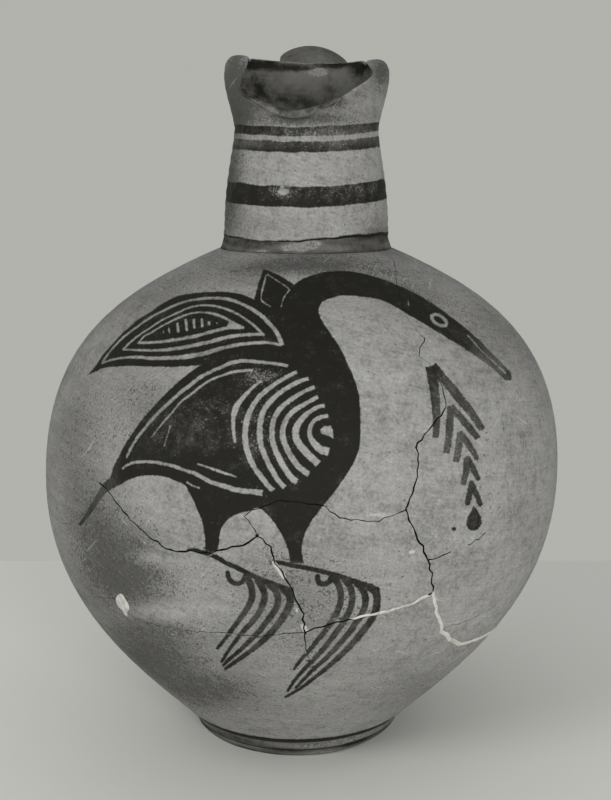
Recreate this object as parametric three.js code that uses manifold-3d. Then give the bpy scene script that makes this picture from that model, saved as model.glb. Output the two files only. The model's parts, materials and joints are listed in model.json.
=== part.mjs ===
// A hand-thrown clay jug on a low ring foot, broken and put together again.
// Millimetres, +Z up. The pouring lip and the painted front face -Y, the strap handle is at +Y.
// The origin is on the resting surface, under the middle of the body.
import * as THREE from "three";
import { mergeVertices } from "three/addons/utils/BufferGeometryUtils.js";
import Module from "manifold-3d";

// Body: heights are measured up from the foot ring's top.
const BELLY_RADIUS = 102;
const BODY_HEIGHT = 186.5;
const BELLY_LIFT = 98.5;
const BODY_BASE_RADIUS = 46;
const BODY_WALL = 5;
const BODY_FLOOR = 7;

// Body curves: lengths of the handles that round the outline off at the belly, the base and the shoulder.
const BELLY_PULL_DOWN = 44;
const BELLY_PULL_UP = 52;
const BASE_PULL = 41;
const BASE_SLOPE = 45;
const SHOULDER_PULL = 44;
const SHOULDER_SLOPE = 23;

// Foot ring
const FOOT_HEIGHT = 8.5;
const FOOT_RADIUS = 40;
const FOOT_WIDTH = 10;
const FOOT_BULGE = 3.5;

// Neck and collar
const COLLAR_HEIGHT = 4.6;
const COLLAR_STEP = 0.6;
const COLLAR_BULGE = 0.6;
const SEAT_MARGIN = 1.8;
const NECK_HEIGHT = 41.5;
const NECK_RADIUS = 32.2;
const THROAT_RADIUS = 27.8;
const NECK_WALL = 4.2;

// Mouth: each part of the rim rises above the throat, and its edge lies at a radius of its own.
const LIP_WALL = 3.4;
const LIP_ROUNDING = 1.3;
const FRONT_RISE = 2.8;
const FRONT_RADIUS = 34;
const SIDE_RISE = 27;
const SIDE_RADIUS = 23.8;
const SIDE_BULGE = 32;
const RIGHT_SIDE_DROP = 1.6;
const BACK_RISE = 25.5;
const BACK_RADIUS = 31.5;
const PINCH_AZIMUTH = 95;
const PINCH_REACH = 50;
const SPOUT_AZIMUTH = 14;

// Mouth curves from the throat to the rim's edge: where their two handles lie, as shares of the rise.
const FLARE_START = 0.4;
const SPOUT_FLARE_START = 0.62;
const BACK_CURL_HEIGHT = 0.7;
const SIDE_CURL_HEIGHT = 1.12;
const SPOUT_CURL_HEIGHT = 0.86;
const SIDE_CURL_REACH = 0.75;
const EDGE_FLARE = 0.4;

// Handle
const HANDLE_WIDTH = 29;
const HANDLE_THICKNESS = 11.5;
const HANDLE_REACH = 71;
const HANDLE_ARCH = 4.4;
const HANDLE_SAG = 1;
const HANDLE_SHIFT = 2.6;
const HANDLE_ROOT_DROP = 19;
const HANDLE_WAIST = 0.1;

// Breaks, filling and clearances
const JOINT_GAP = 0.3;
const SEAM_WIDTH = 1.2;
const FLAKE_WIDTH = 4.6;
const FLAKE_LENGTH = 9.4;
const FLAKE_DEPTH = 2.6;
const SHARPEST_MITRE = 0.4;
const BLADE_MARGIN = 5;

// The jug stands a little out of true: the body leans towards +X and the neck on it rather less.
const BODY_LEAN = 1.15;
const NECK_LEAN = 0.3;

// Facets
const BODY_SEGMENTS = 48;
const NECK_SEGMENTS = 44;
const HANDLE_STEPS = 18;
const HANDLE_SIDES = 14;

// Break lines on the body as [azimuth in degrees, height in percent of the body's height].
// Azimuth 0 is the front and grows towards +X.
const RIGHT_BREAK = [
  [36, 100], [34, 95], [30, 90], [31, 85.5], [28, 83.5], [31, 79.5], [30.5, 74.5], [27, 72], [22.5, 69],
  [22.5, 65.5], [19.7, 57.6], [21.5, 54], [24.6, 48.5], [27, 41.1],
];
const CENTRE_TOP_BREAK = [
  [19.7, 57.6], [14.4, 56.2], [8.7, 56.6], [4.1, 59.1], [-4, 60.3], [-10.6, 57.6], [-8, 53.8],
];
const CENTRE_LEFT_BREAK = [[-8, 53.8], [-4.7, 49.4], [-2.9, 46.5], [-1.5, 44], [0.8, 38.7], [1.3, 34.9]];
const LEFT_BREAK = [
  [-8, 53.8], [-14.8, 50.7], [-20, 49.8], [-25, 49.5], [-29.3, 51], [-33.5, 53.4], [-43.5, 59.4],
  [-48, 52.5], [-56, 48.5], [-75, 47], [-95, 44], [-118, 40], [-135, 31],
];
const LOWER_BREAK = [
  [1.3, 34.9], [-4, 34.3], [-10, 33.8], [-16, 33.9], [-22, 33.4], [-35, 33], [-43, 35], [-58, 33],
  [-80, 34.5], [-105, 31.5], [-135, 31], [-165, 28], [-195, 29.5], [-220, 25.5], [-245, 26.5],
  [-270, 23.5], [-293, 22.7],
];
const BACK_BREAK = [[124, 100], [128, 92], [121, 80], [131, 68], [122, 52], [125, 40], [115, 26.5]];
const RIGHT_SEAM = [
  [27, 41.1], [29.5, 35.7], [32.5, 31.4], [38.2, 27.5], [42.5, 25.6], [56.5, 24], [67, 22.7],
];
const CENTRE_SEAM = [[27, 41.1], [23.7, 39.6], [17.3, 38.3], [11, 37.6], [6.6, 36.7], [1.3, 34.9]];
const FLAKE_PLACE = [-41.3, 34.6];

// A point well inside each sherd, on the same scale, which tells the sherds apart.
const SHERD_MARKS = {
  base_sherd: [0, 8],
  left_sherd: [-25, 42],
  centre_sherd: [10, 47],
  shoulder_sherd: [-40, 80],
  right_sherd: [60, 60],
};

// Heights that follow from the sizes above
const SHOULDER_Z = FOOT_HEIGHT + BODY_HEIGHT;
const COLLAR_BASE_Z = SHOULDER_Z + JOINT_GAP;
const NECK_BASE_Z = SHOULDER_Z + COLLAR_HEIGHT;
const THROAT_Z = NECK_BASE_Z + NECK_HEIGHT;
const BACK_RIM_Z = THROAT_Z + BACK_RISE;
const BELLY_Z = FOOT_HEIGHT + BELLY_LIFT;
const NECK_BORE = NECK_RADIUS - NECK_WALL;
const COLLAR_RADIUS = NECK_RADIUS + COLLAR_STEP;
const NECK_SEAT_RADIUS = NECK_RADIUS + SEAT_MARGIN;

const CLAY = new THREE.MeshStandardMaterial({ color: 0x9c9788, roughness: 0.8, metalness: 0 });
const PAINTED_CLAY = new THREE.MeshStandardMaterial({ color: 0x4a4640, roughness: 0.75, metalness: 0 });
const PLASTER = new THREE.MeshStandardMaterial({ color: 0xc4c0b4, roughness: 0.9, metalness: 0 });

const wasm = await Module();
wasm.setup();

const degrees = THREE.MathUtils.degToRad;
const smoothstep = THREE.MathUtils.smoothstep;
const lerp = THREE.MathUtils.lerp;

// Keeps only positions, welds shared corners and drops triangles that have collapsed.
function weld(geometry) {
  const bare = new THREE.BufferGeometry();
  bare.setAttribute("position", geometry.getAttribute("position"));
  bare.setIndex(geometry.index);
  const welded = mergeVertices(bare, 1e-4);
  const kept = [];
  for (let i = 0; i < welded.index.count; i += 3) {
    const [a, b, c] = [0, 1, 2].map((k) => welded.index.getX(i + k));
    if (a !== b && b !== c && c !== a) kept.push(a, b, c);
  }
  welded.setIndex(kept);
  return welded;
}

function toSolid(geometry) {
  const welded = weld(geometry);
  const mesh = new wasm.Mesh({
    numProp: 3,
    vertProperties: new Float32Array(welded.getAttribute("position").array),
    triVerts: new Uint32Array(welded.index.array),
  });
  return new wasm.Manifold(mesh);
}

function toGeometry(solid) {
  const mesh = solid.getMesh();
  const geometry = new THREE.BufferGeometry();
  geometry.setAttribute("position", new THREE.BufferAttribute(new Float32Array(mesh.vertProperties), 3));
  geometry.setIndex(Array.from(mesh.triVerts));
  return geometry;
}

// Turns a closed or axis-to-axis outline of Vector2(radius, height) about the Z axis.
function turned(outline, segments) {
  return new THREE.LatheGeometry(outline, segments).rotateX(Math.PI / 2);
}

// Joins rings of equally many points into one skin: closed in a loop, or capped at both ends.
function skinned(rings, looped) {
  const sides = rings[0].length;
  const positions = rings.flat().flatMap((point) => point.toArray());
  const index = [];
  const spans = looped ? rings.length : rings.length - 1;
  for (let i = 0; i < spans; i += 1) {
    const next = (i + 1) % rings.length;
    for (let j = 0; j < sides; j += 1) {
      const k = (j + 1) % sides;
      const [a, b, c, d] = [i * sides + j, i * sides + k, next * sides + k, next * sides + j];
      // Opposite sides are split along matching diagonals, so that a thin, twisting blade keeps its width.
      if (j < sides / 2) index.push(a, b, c, a, c, d);
      else index.push(a, b, d, b, c, d);
    }
  }
  if (!looped) {
    const last = (rings.length - 1) * sides;
    for (let j = 1; j < sides - 1; j += 1) {
      index.push(0, j + 1, j);
      index.push(last, last + j, last + j + 1);
    }
  }
  const geometry = new THREE.BufferGeometry();
  geometry.setAttribute("position", new THREE.Float32BufferAttribute(positions, 3));
  geometry.setIndex(index);
  return geometry;
}

// Moves each point of an open outline sideways, to the left of its direction, by the given distances.
function offsetOutline(points, distanceAt) {
  return points.map((point, i) => {
    const before = points[Math.max(i - 1, 0)];
    const after = points[Math.min(i + 1, points.length - 1)];
    const along = after.clone().sub(before).normalize();
    const left = new THREE.Vector2(-along.y, along.x);
    return point.clone().addScaledVector(left, distanceAt(i / (points.length - 1)));
  });
}

function onSlope(point, angle, length) {
  const turn = degrees(angle);
  return new THREE.Vector2(point.x + length * Math.cos(turn), point.y + length * Math.sin(turn));
}

// Outer outline of the body's wall, from the foot ring up to the neck's seat.
function bodyOutline(steps) {
  const base = new THREE.Vector2(BODY_BASE_RADIUS, FOOT_HEIGHT);
  const belly = new THREE.Vector2(BELLY_RADIUS, BELLY_Z);
  const seat = new THREE.Vector2(NECK_SEAT_RADIUS, SHOULDER_Z);
  const lower = new THREE.CubicBezierCurve(
    base,
    onSlope(base, BASE_SLOPE, BASE_PULL),
    new THREE.Vector2(BELLY_RADIUS, BELLY_Z - BELLY_PULL_DOWN),
    belly,
  );
  const upper = new THREE.CubicBezierCurve(
    belly,
    new THREE.Vector2(BELLY_RADIUS, BELLY_Z + BELLY_PULL_UP),
    onSlope(seat, -SHOULDER_SLOPE, SHOULDER_PULL),
    seat,
  );
  return [...lower.getPoints(steps), ...upper.getPoints(steps).slice(1)];
}

const OUTER = bodyOutline(10);

function bodyGeometry() {
  const inner = offsetOutline(bodyOutline(7), () => BODY_WALL)
    .filter((point) => point.x > NECK_BORE && point.y > FOOT_HEIGHT + BODY_FLOOR)
    .reverse();
  const outline = [
    new THREE.Vector2(0, FOOT_HEIGHT),
    ...OUTER,
    new THREE.Vector2(NECK_BORE, SHOULDER_Z),
    new THREE.Vector2(NECK_BORE, SHOULDER_Z - BODY_WALL),
    ...inner,
    new THREE.Vector2(0, FOOT_HEIGHT + BODY_FLOOR),
  ];
  return turned(outline, BODY_SEGMENTS);
}

// The body as a solid block, grown by the joint's clearance, to cut what is luted onto it.
function bodyBlock() {
  const grown = offsetOutline(OUTER, () => -JOINT_GAP);
  const outline = [
    new THREE.Vector2(0, FOOT_HEIGHT),
    ...grown,
    new THREE.Vector2(0, SHOULDER_Z + JOINT_GAP),
  ];
  return turned(outline, BODY_SEGMENTS);
}

// Direction of the body's outline at one of its points.
function outlineDirection(i) {
  const before = OUTER[Math.max(i - 1, 0)];
  const after = OUTER[Math.min(i + 1, OUTER.length - 1)];
  return after.clone().sub(before).normalize();
}

// Where a [azimuth, percent] mark lies on the body's outside, with the wall's outward direction there.
function onBody([azimuth, percent]) {
  const height = FOOT_HEIGHT + (BODY_HEIGHT * percent) / 100;
  let i = OUTER.findIndex((point) => point.y >= height);
  i = THREE.MathUtils.clamp(i === -1 ? OUTER.length - 1 : i, 1, OUTER.length - 1);
  const [low, high] = [OUTER[i - 1], OUTER[i]];
  const share = (height - low.y) / (high.y - low.y);
  const radius = lerp(low.x, high.x, share);
  const along = outlineDirection(i - 1).lerp(outlineDirection(i), share).normalize();
  const turn = degrees(azimuth);
  const [sine, cosine] = [Math.sin(turn), Math.cos(turn)];
  return {
    point: new THREE.Vector3(radius * sine, -radius * cosine, height),
    normal: new THREE.Vector3(along.y * sine, -along.y * cosine, -along.x),
  };
}

// Adds marks between far ones, so that a line follows the round of the body.
function refined(marks, step) {
  const line = [marks[0]];
  for (let i = 1; i < marks.length; i += 1) {
    const [from, to] = [marks[i - 1], marks[i]];
    const parts = Math.max(1, Math.ceil(Math.abs(to[0] - from[0]) / step));
    for (let k = 1; k <= parts; k += 1) {
      line.push([lerp(from[0], to[0], k / parts), lerp(from[1], to[1], k / parts)]);
    }
  }
  return line;
}

// A blade that follows a break line square through the wall. Its ends run on past the line as far as given.
function blade(marks, width, startRun, endRun) {
  const reachOut = BLADE_MARGIN;
  const reachIn = BODY_WALL + BLADE_MARGIN;
  const places = refined(marks, 360 / BODY_SEGMENTS).map(onBody);
  const last = places.length - 1;
  const runOn = (from, to, length) => {
    const along = to.point.clone().sub(from.point).normalize();
    return { point: to.point.clone().addScaledVector(along, length), normal: to.normal };
  };
  const line = [...places];
  if (startRun) line.unshift(runOn(places[1], places[0], startRun));
  if (endRun) line.push(runOn(places[last - 1], places[last], endRun));
  const direction = (i) => line[i + 1].point.clone().sub(line[i].point).normalize();
  const rings = line.map(({ point, normal }, i) => {
    const into = direction(Math.max(i - 1, 0));
    const out = direction(Math.min(i, line.length - 2));
    const along = into.clone().add(out).normalize();
    const side = along.clone().cross(normal).normalize();
    const half = width / 2 / Math.max(along.dot(into), SHARPEST_MITRE);
    const corner = (across, depth) =>
      point.clone().addScaledVector(side, across * half).addScaledVector(normal, depth);
    return [corner(1, reachOut), corner(1, -reachIn), corner(-1, -reachIn), corner(-1, reachOut)];
  });
  return skinned(rings, false);
}

// A plug that sits in the outer part of the wall, long way along the wall's height.
function flakePlug(clearance, reachOut) {
  const { point, normal } = onBody(FLAKE_PLACE);
  const plug = new THREE.CylinderGeometry(0.5, 0.5, FLAKE_DEPTH + reachOut - clearance, 14);
  plug.translate(0, (reachOut - FLAKE_DEPTH + clearance) / 2, 0);
  plug.scale(FLAKE_WIDTH - 2 * clearance, 1, FLAKE_LENGTH - 2 * clearance);
  const side = new THREE.Vector3(0, 0, 1).cross(normal).normalize();
  const up = side.clone().cross(normal);
  plug.applyMatrix4(new THREE.Matrix4().makeBasis(side, normal, up).setPosition(point));
  return plug;
}

// Splits a geometry into its separate closed pieces.
function separatePieces(geometry) {
  const index = geometry.index.array;
  const parent = Array.from({ length: geometry.getAttribute("position").count }, (_, i) => i);
  const find = (i) => {
    let top = i;
    while (parent[top] !== top) top = parent[top];
    parent[i] = top;
    return top;
  };
  for (let i = 0; i < index.length; i += 3) {
    parent[find(index[i])] = find(index[i + 1]);
    parent[find(index[i + 1])] = find(index[i + 2]);
  }
  const groups = new Map();
  for (let i = 0; i < index.length; i += 3) {
    const group = find(index[i]);
    if (!groups.has(group)) groups.set(group, []);
    groups.get(group).push(index[i], index[i + 1], index[i + 2]);
  }
  return [...groups.values()].map((triangles) => {
    const piece = new THREE.BufferGeometry();
    piece.setAttribute("position", geometry.getAttribute("position"));
    piece.setIndex(triangles);
    return piece.toNonIndexed();
  });
}

function nearestDistance(geometry, target) {
  const positions = geometry.getAttribute("position");
  const corner = new THREE.Vector3();
  let least = Infinity;
  for (let i = 0; i < positions.count; i += 1) {
    least = Math.min(least, corner.fromBufferAttribute(positions, i).distanceTo(target));
  }
  return least;
}

// The broken body: the thrown shell, cut along every break line and for the filling.
function sherds() {
  const seamCut = SEAM_WIDTH + 2 * JOINT_GAP;
  const pastRim = NECK_SEAT_RADIUS;
  const join = SEAM_WIDTH;
  const cuts = [
    blade(RIGHT_BREAK, JOINT_GAP, pastRim, join),
    blade(BACK_BREAK, JOINT_GAP, pastRim, join),
    blade(CENTRE_TOP_BREAK, JOINT_GAP, join, join),
    blade(CENTRE_LEFT_BREAK, JOINT_GAP, join, join),
    blade(LEFT_BREAK, JOINT_GAP, join, join),
    blade(LOWER_BREAK, JOINT_GAP, join, join),
    blade(RIGHT_SEAM, seamCut, JOINT_GAP, JOINT_GAP),
    blade(CENTRE_SEAM, seamCut, JOINT_GAP, JOINT_GAP),
    flakePlug(0, BODY_WALL),
  ];
  const body = cuts.reduce((solid, cut) => solid.subtract(toSolid(cut)), toSolid(bodyGeometry()));
  const pieces = separatePieces(toGeometry(body));
  return Object.entries(SHERD_MARKS).map(([name, mark]) => {
    const target = onBody(mark).point;
    const ranked = pieces
      .map((piece) => ({ piece, distance: nearestDistance(piece, target) }))
      .sort((a, b) => a.distance - b.distance);
    return [name, ranked[0].piece];
  });
}

// Filling: the part of the shell that lies in a seam, clear of the sherds on both sides.
function seamFilling(marks) {
  return toSolid(bodyGeometry()).intersect(toSolid(blade(marks, SEAM_WIDTH, 0, 0)));
}

// The middle seam's filling stops short of the right seam, which it branches off.
function centreFilling() {
  const rightSeam = blade(RIGHT_SEAM, SEAM_WIDTH + 2 * JOINT_GAP, JOINT_GAP, 0);
  return seamFilling(CENTRE_SEAM).subtract(toSolid(rightSeam));
}

function flakeFilling() {
  return toGeometry(toSolid(flakePlug(JOINT_GAP, BODY_WALL)).intersect(toSolid(bodyGeometry())));
}

function footRing() {
  const inner = FOOT_RADIUS - FOOT_WIDTH;
  const top = FOOT_HEIGHT - JOINT_GAP;
  const side = new THREE.QuadraticBezierCurve(
    new THREE.Vector2(FOOT_RADIUS, 0),
    new THREE.Vector2(FOOT_RADIUS + FOOT_BULGE, FOOT_HEIGHT * 0.35),
    new THREE.Vector2(BODY_BASE_RADIUS - FOOT_BULGE * 0.5, top),
  ).getPoints(4);
  const outline = [
    new THREE.Vector2(inner, 0),
    ...side,
    new THREE.Vector2(inner - FOOT_BULGE * 0.5, top),
    new THREE.Vector2(inner, 0),
  ];
  return turned(outline, BODY_SEGMENTS);
}

function collar() {
  const top = NECK_BASE_Z - JOINT_GAP;
  const side = new THREE.QuadraticBezierCurve(
    new THREE.Vector2(COLLAR_RADIUS - COLLAR_BULGE, COLLAR_BASE_Z),
    new THREE.Vector2(COLLAR_RADIUS + COLLAR_BULGE, (COLLAR_BASE_Z + top) / 2),
    new THREE.Vector2(COLLAR_RADIUS - COLLAR_BULGE, top),
  ).getPoints(3);
  const outline = [
    new THREE.Vector2(NECK_BORE, COLLAR_BASE_Z),
    ...side,
    new THREE.Vector2(NECK_BORE, top),
    new THREE.Vector2(NECK_BORE, COLLAR_BASE_Z),
  ];
  return turned(outline, NECK_SEGMENTS);
}

// Outside of the neck and mouth in the half plane at one azimuth, from the collar up to the rim's edge.
function neckOutline(azimuth) {
  const turn = Math.abs(azimuth);
  const spout = 1 - smoothstep(turn, SPOUT_AZIMUTH, PINCH_AZIMUTH);
  const fromPinch = THREE.MathUtils.clamp((turn - PINCH_AZIMUTH) / PINCH_REACH, -1, 1);
  const pinch = Math.cos((fromPinch * Math.PI) / 2) ** 2;
  const openRadius = lerp(BACK_RADIUS, FRONT_RADIUS, spout);
  const sideRise = azimuth > 0 ? SIDE_RISE - RIGHT_SIDE_DROP : SIDE_RISE;
  const openRise = lerp(lerp(BACK_RISE, sideRise, pinch), FRONT_RISE, spout);
  const edge = new THREE.Vector2(lerp(openRadius, SIDE_RADIUS, pinch), THROAT_Z + openRise);
  const throat = new THREE.Vector2(THROAT_RADIUS, THROAT_Z);
  const flare = new THREE.Vector2(
    lerp(lerp(THROAT_RADIUS, SIDE_BULGE, EDGE_FLARE * pinch), THROAT_RADIUS, spout),
    THROAT_Z + openRise * lerp(FLARE_START, SPOUT_FLARE_START, spout),
  );
  const sideCurl = SIDE_BULGE + (SIDE_BULGE - SIDE_RADIUS) * SIDE_CURL_REACH;
  const curl = new THREE.Vector2(
    lerp(lerp(THROAT_RADIUS, openRadius, EDGE_FLARE), sideCurl, pinch),
    THROAT_Z + openRise * lerp(lerp(BACK_CURL_HEIGHT, SIDE_CURL_HEIGHT, pinch), SPOUT_CURL_HEIGHT, spout),
  );
  const stem = new THREE.CubicBezierCurve(
    new THREE.Vector2(NECK_RADIUS, NECK_BASE_Z),
    new THREE.Vector2(NECK_RADIUS, NECK_BASE_Z + NECK_HEIGHT * 0.5),
    new THREE.Vector2(THROAT_RADIUS, THROAT_Z - NECK_HEIGHT * 0.2),
    throat,
  );
  const mouth = new THREE.CubicBezierCurve(throat, flare, curl, edge);
  return [...stem.getPoints(5), ...mouth.getPoints(8).slice(1)];
}

function neckMeridian(azimuth) {
  const outside = neckOutline(azimuth);
  const inside = offsetOutline(outside, (share) => lerp(NECK_WALL, LIP_WALL, share));
  inside[0].set(NECK_BORE, NECK_BASE_Z);
  const [edge, below] = [outside.at(-1), outside.at(-2)];
  const along = edge.clone().sub(below).normalize();
  const lip = edge.clone().lerp(inside.at(-1), 0.5).addScaledVector(along, LIP_ROUNDING);
  return [...outside, lip, ...inside.reverse()];
}

function aroundZ(azimuth, points) {
  const turn = degrees(azimuth);
  return points.map((p) => new THREE.Vector3(p.x * Math.sin(turn), -p.x * Math.cos(turn), p.y));
}

function neckAzimuths() {
  return Array.from({ length: NECK_SEGMENTS }, (_, i) => 180 - (360 * i) / NECK_SEGMENTS);
}

function neck() {
  return skinned(neckAzimuths().map((azimuth) => aroundZ(azimuth, neckMeridian(azimuth))), true);
}

// The neck as a solid block, grown by the joint's clearance, to cut the handle where it is luted on.
function neckBlock() {
  const rings = neckAzimuths().map((azimuth) => {
    const grown = offsetOutline(neckOutline(azimuth), () => -JOINT_GAP);
    const top = grown.at(-1);
    const outline = [
      new THREE.Vector2(1, NECK_BASE_Z - JOINT_GAP),
      ...grown,
      new THREE.Vector2(top.x, top.y + LIP_ROUNDING + 2 * JOINT_GAP),
      new THREE.Vector2(1, top.y + LIP_ROUNDING + 2 * JOINT_GAP),
    ];
    return aroundZ(azimuth, outline);
  });
  return skinned(rings, true);
}

// The middle line of the strap, in the plane behind the jug.
function handleLine() {
  const rootHeight = SHOULDER_Z - HANDLE_ROOT_DROP;
  const root = onBody([180, ((rootHeight - FOOT_HEIGHT) / BODY_HEIGHT) * 100]).point;
  const drop = BACK_RIM_Z - rootHeight;
  const lane = (y, z) => new THREE.Vector3(HANDLE_SHIFT, y, z);
  return new THREE.CatmullRomCurve3([
    lane(BACK_RADIUS - HANDLE_THICKNESS * 0.6, BACK_RIM_Z - HANDLE_THICKNESS * 0.8),
    lane(BACK_RADIUS + HANDLE_THICKNESS * 0.5, BACK_RIM_Z + HANDLE_ARCH * 0.4),
    lane(lerp(BACK_RADIUS, HANDLE_REACH, 0.5), BACK_RIM_Z + HANDLE_ARCH),
    lane(lerp(BACK_RADIUS, HANDLE_REACH, 0.83), BACK_RIM_Z - drop * 0.09),
    lane(HANDLE_REACH, BACK_RIM_Z - drop * 0.3),
    lane(HANDLE_REACH + HANDLE_SAG, BACK_RIM_Z - drop * 0.6),
    lane(root.y, rootHeight + HANDLE_THICKNESS * 0.8),
    lane(root.y - HANDLE_THICKNESS * 0.7, rootHeight - HANDLE_THICKNESS * 0.7),
  ]);
}

function handle() {
  const line = handleLine();
  const rings = Array.from({ length: HANDLE_STEPS + 1 }, (_, i) => {
    const share = i / HANDLE_STEPS;
    const middle = line.getPointAt(share);
    const along = line.getTangentAt(share);
    const across = new THREE.Vector3(1, 0, 0);
    const outward = along.clone().cross(across);
    const waist = 1 - HANDLE_WAIST * Math.sin(share * Math.PI);
    return Array.from({ length: HANDLE_SIDES }, (_, j) => {
      const turn = (2 * Math.PI * j) / HANDLE_SIDES;
      return middle
        .clone()
        .addScaledVector(across, 0.5 * HANDLE_WIDTH * waist * Math.cos(turn))
        .addScaledVector(outward, 0.5 * HANDLE_THICKNESS * Math.sin(turn));
    });
  });
  const strap = toSolid(skinned(rings, false));
  return toGeometry(strap.subtract(toSolid(neckBlock())).subtract(toSolid(bodyBlock())));
}

const jug = new THREE.Group();
jug.name = "jug";

// Leans a piece about a height that stays where it is, and moves it sideways with what it stands on.
function place(name, geometry, material, leanDegrees, stillHeight, sideways) {
  const lean = Math.tan(degrees(leanDegrees));
  const shear = new THREE.Matrix4().makeShear(0, 0, 0, 0, lean, 0);
  shear.setPosition(sideways - lean * stillHeight, 0, 0);
  const mesh = new THREE.Mesh(geometry.applyMatrix4(shear), material);
  mesh.name = name;
  jug.add(mesh);
}

// The body leans about its belly, whose middle stays over the origin.
function placeOnBody(name, geometry, material) {
  place(name, geometry, material, BODY_LEAN, BELLY_Z, 0);
}

// The neck and the handle lean about the shoulder, which the body has carried sideways.
function placeOnNeck(name, geometry, material) {
  const carried = Math.tan(degrees(BODY_LEAN)) * (SHOULDER_Z - BELLY_Z);
  place(name, geometry, material, NECK_LEAN, SHOULDER_Z, carried);
}

placeOnBody("foot_ring", footRing(), PAINTED_CLAY);
for (const [name, geometry] of sherds()) placeOnBody(name, geometry, CLAY);
placeOnNeck("neck_collar", collar(), PAINTED_CLAY);
placeOnNeck("neck", neck(), CLAY);
placeOnNeck("handle", handle(), CLAY);
placeOnBody("plaster_seam_right", toGeometry(seamFilling(RIGHT_SEAM)), PLASTER);
placeOnBody("plaster_seam_centre", toGeometry(centreFilling()), PLASTER);
placeOnBody("plaster_flake", flakeFilling(), PLASTER);

export default jug;
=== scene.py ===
"""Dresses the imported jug: mended clay sherds with slip painting, plaster, a thrown neck and a handle.

Sizes are millimetres, or pixels of the 611 x 800 picture, until a mesh is written in metres. The painted
front faces -Y. An azimuth of 0 degrees is the front, and azimuths grow towards +X.
"""

import json
import logging
import math
from collections.abc import Callable
from dataclasses import dataclass, field, replace
from enum import Enum

import bpy
import numpy as np
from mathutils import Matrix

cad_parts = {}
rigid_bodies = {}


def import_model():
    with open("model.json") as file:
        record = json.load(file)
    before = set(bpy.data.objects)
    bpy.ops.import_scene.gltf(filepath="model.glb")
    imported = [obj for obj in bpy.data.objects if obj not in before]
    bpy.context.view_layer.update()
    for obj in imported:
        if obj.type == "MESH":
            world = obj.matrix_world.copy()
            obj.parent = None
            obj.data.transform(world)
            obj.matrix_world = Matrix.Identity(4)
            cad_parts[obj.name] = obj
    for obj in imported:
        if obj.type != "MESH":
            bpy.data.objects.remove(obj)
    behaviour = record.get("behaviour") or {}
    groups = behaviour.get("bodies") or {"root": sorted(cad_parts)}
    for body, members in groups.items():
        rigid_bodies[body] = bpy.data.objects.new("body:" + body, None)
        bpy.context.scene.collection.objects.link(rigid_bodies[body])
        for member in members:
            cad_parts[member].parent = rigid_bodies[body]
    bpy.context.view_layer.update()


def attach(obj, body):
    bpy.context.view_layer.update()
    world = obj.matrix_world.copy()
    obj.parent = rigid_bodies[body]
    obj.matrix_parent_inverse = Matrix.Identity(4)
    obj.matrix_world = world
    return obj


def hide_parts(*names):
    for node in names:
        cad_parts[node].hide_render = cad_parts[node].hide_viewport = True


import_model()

LOG = logging.getLogger("jug")
MM = 0.001
ROOT = "root"
MERGE_DISTANCE = 2e-6

Mark = tuple[float, float]
Marks = tuple[Mark, ...]
Triple = tuple[float, float, float]
Colour = tuple[float, float, float, float]
Array = np.ndarray
Values = Array | float
Pair = tuple[Array, Array]
Piece = bpy.types.Object
Material = bpy.types.Material


class Slot(Enum):
    """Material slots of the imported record."""

    CLAY = "clay"
    PAINTED_CLAY = "painted_clay"
    PLASTER = "plaster"


class Trace(Enum):
    """Point attributes that the finishes read."""

    PAINT = "paint"
    WEAR = "wear"
    # Grime, with painted shade, in cracks, joints and the foot's groove
    DIRT = "dirt_and_shade"
    # Stains, with painted shade on the shoulder, lower belly, left side and under the lip
    STAIN = "stain_and_shade"
    CHALK = "chalk"
    FADE = "fade"


# Curves and surfaces in numbers


def bezier(handles: list[Array], share: Array) -> Array:
    """Evaluates a cubic curve.

    Args:
        handles: Its four handles, in shapes that go with the shares.
        share: Places along the curve from 0 to 1.

    Returns:
        One point for each share.
    """
    rest = 1 - share
    first, second, third, last = handles
    return rest**3 * first + 3 * rest**2 * share * second + 3 * rest * share**2 * third + share**3 * last


def smooth_line(points: Marks | Array, spacing: float, closed: bool = False) -> Array:
    """Draws a smooth line through points, with corners kept where it turns sharply.

    Args:
        points: The points that the line goes through.
        spacing: Longest step along the drawn line.
        closed: Whether the line goes back to its start.

    Returns:
        The points of the drawn line.
    """
    corner_cosine = 0.55
    given = np.asarray(points, float)
    if closed:
        given = np.vstack([given, given[:1]])
    steps = np.diff(given, axis=0)
    lengths = np.linalg.norm(steps, axis=1)
    slopes = steps / lengths[:, None]
    count = len(steps)

    def slope_at(one: int, other: int, own: int) -> Array:
        """Finds the direction where two steps meet, or the own step's direction at an end or a corner.

        Args:
            one: The step before.
            other: The step after.
            own: The step that is drawn.

        Returns:
            The direction.
        """
        if not closed and (one < 0 or other >= count):
            return slopes[own]
        one, other = one % count, other % count
        if slopes[one] @ slopes[other] < corner_cosine:
            return slopes[own]
        total = lengths[one] + lengths[other]
        return (slopes[one] * lengths[other] + slopes[other] * lengths[one]) / total

    drawn = []
    for i in range(count):
        pull_out = slope_at(i - 1, i, i) * lengths[i]
        pull_in = slope_at(i, i + 1, i) * lengths[i]
        parts = max(1, math.ceil(lengths[i] / spacing))
        share = (np.arange(parts) / parts)[:, None]
        handles = [given[i], given[i] + pull_out / 3, given[i + 1] - pull_in / 3, given[i + 1]]
        drawn.append(bezier(handles, share))
    if not closed:
        drawn.append(given[-1:])
    return np.vstack(drawn)


def evenly(points: Array, spacing: float) -> Array:
    """Sets points at even steps along a line of straight stretches.

    Args:
        points: The line's corners.
        spacing: Wanted length of a step.

    Returns:
        The new points, with the line's two ends among them.
    """
    along = np.concatenate([[0], np.cumsum(np.linalg.norm(np.diff(points, axis=0), axis=1))])
    count = max(2, round(along[-1] / spacing) + 1)
    wanted = np.linspace(0, along[-1], count)
    return np.column_stack([np.interp(wanted, along, column) for column in points.T])


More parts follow.
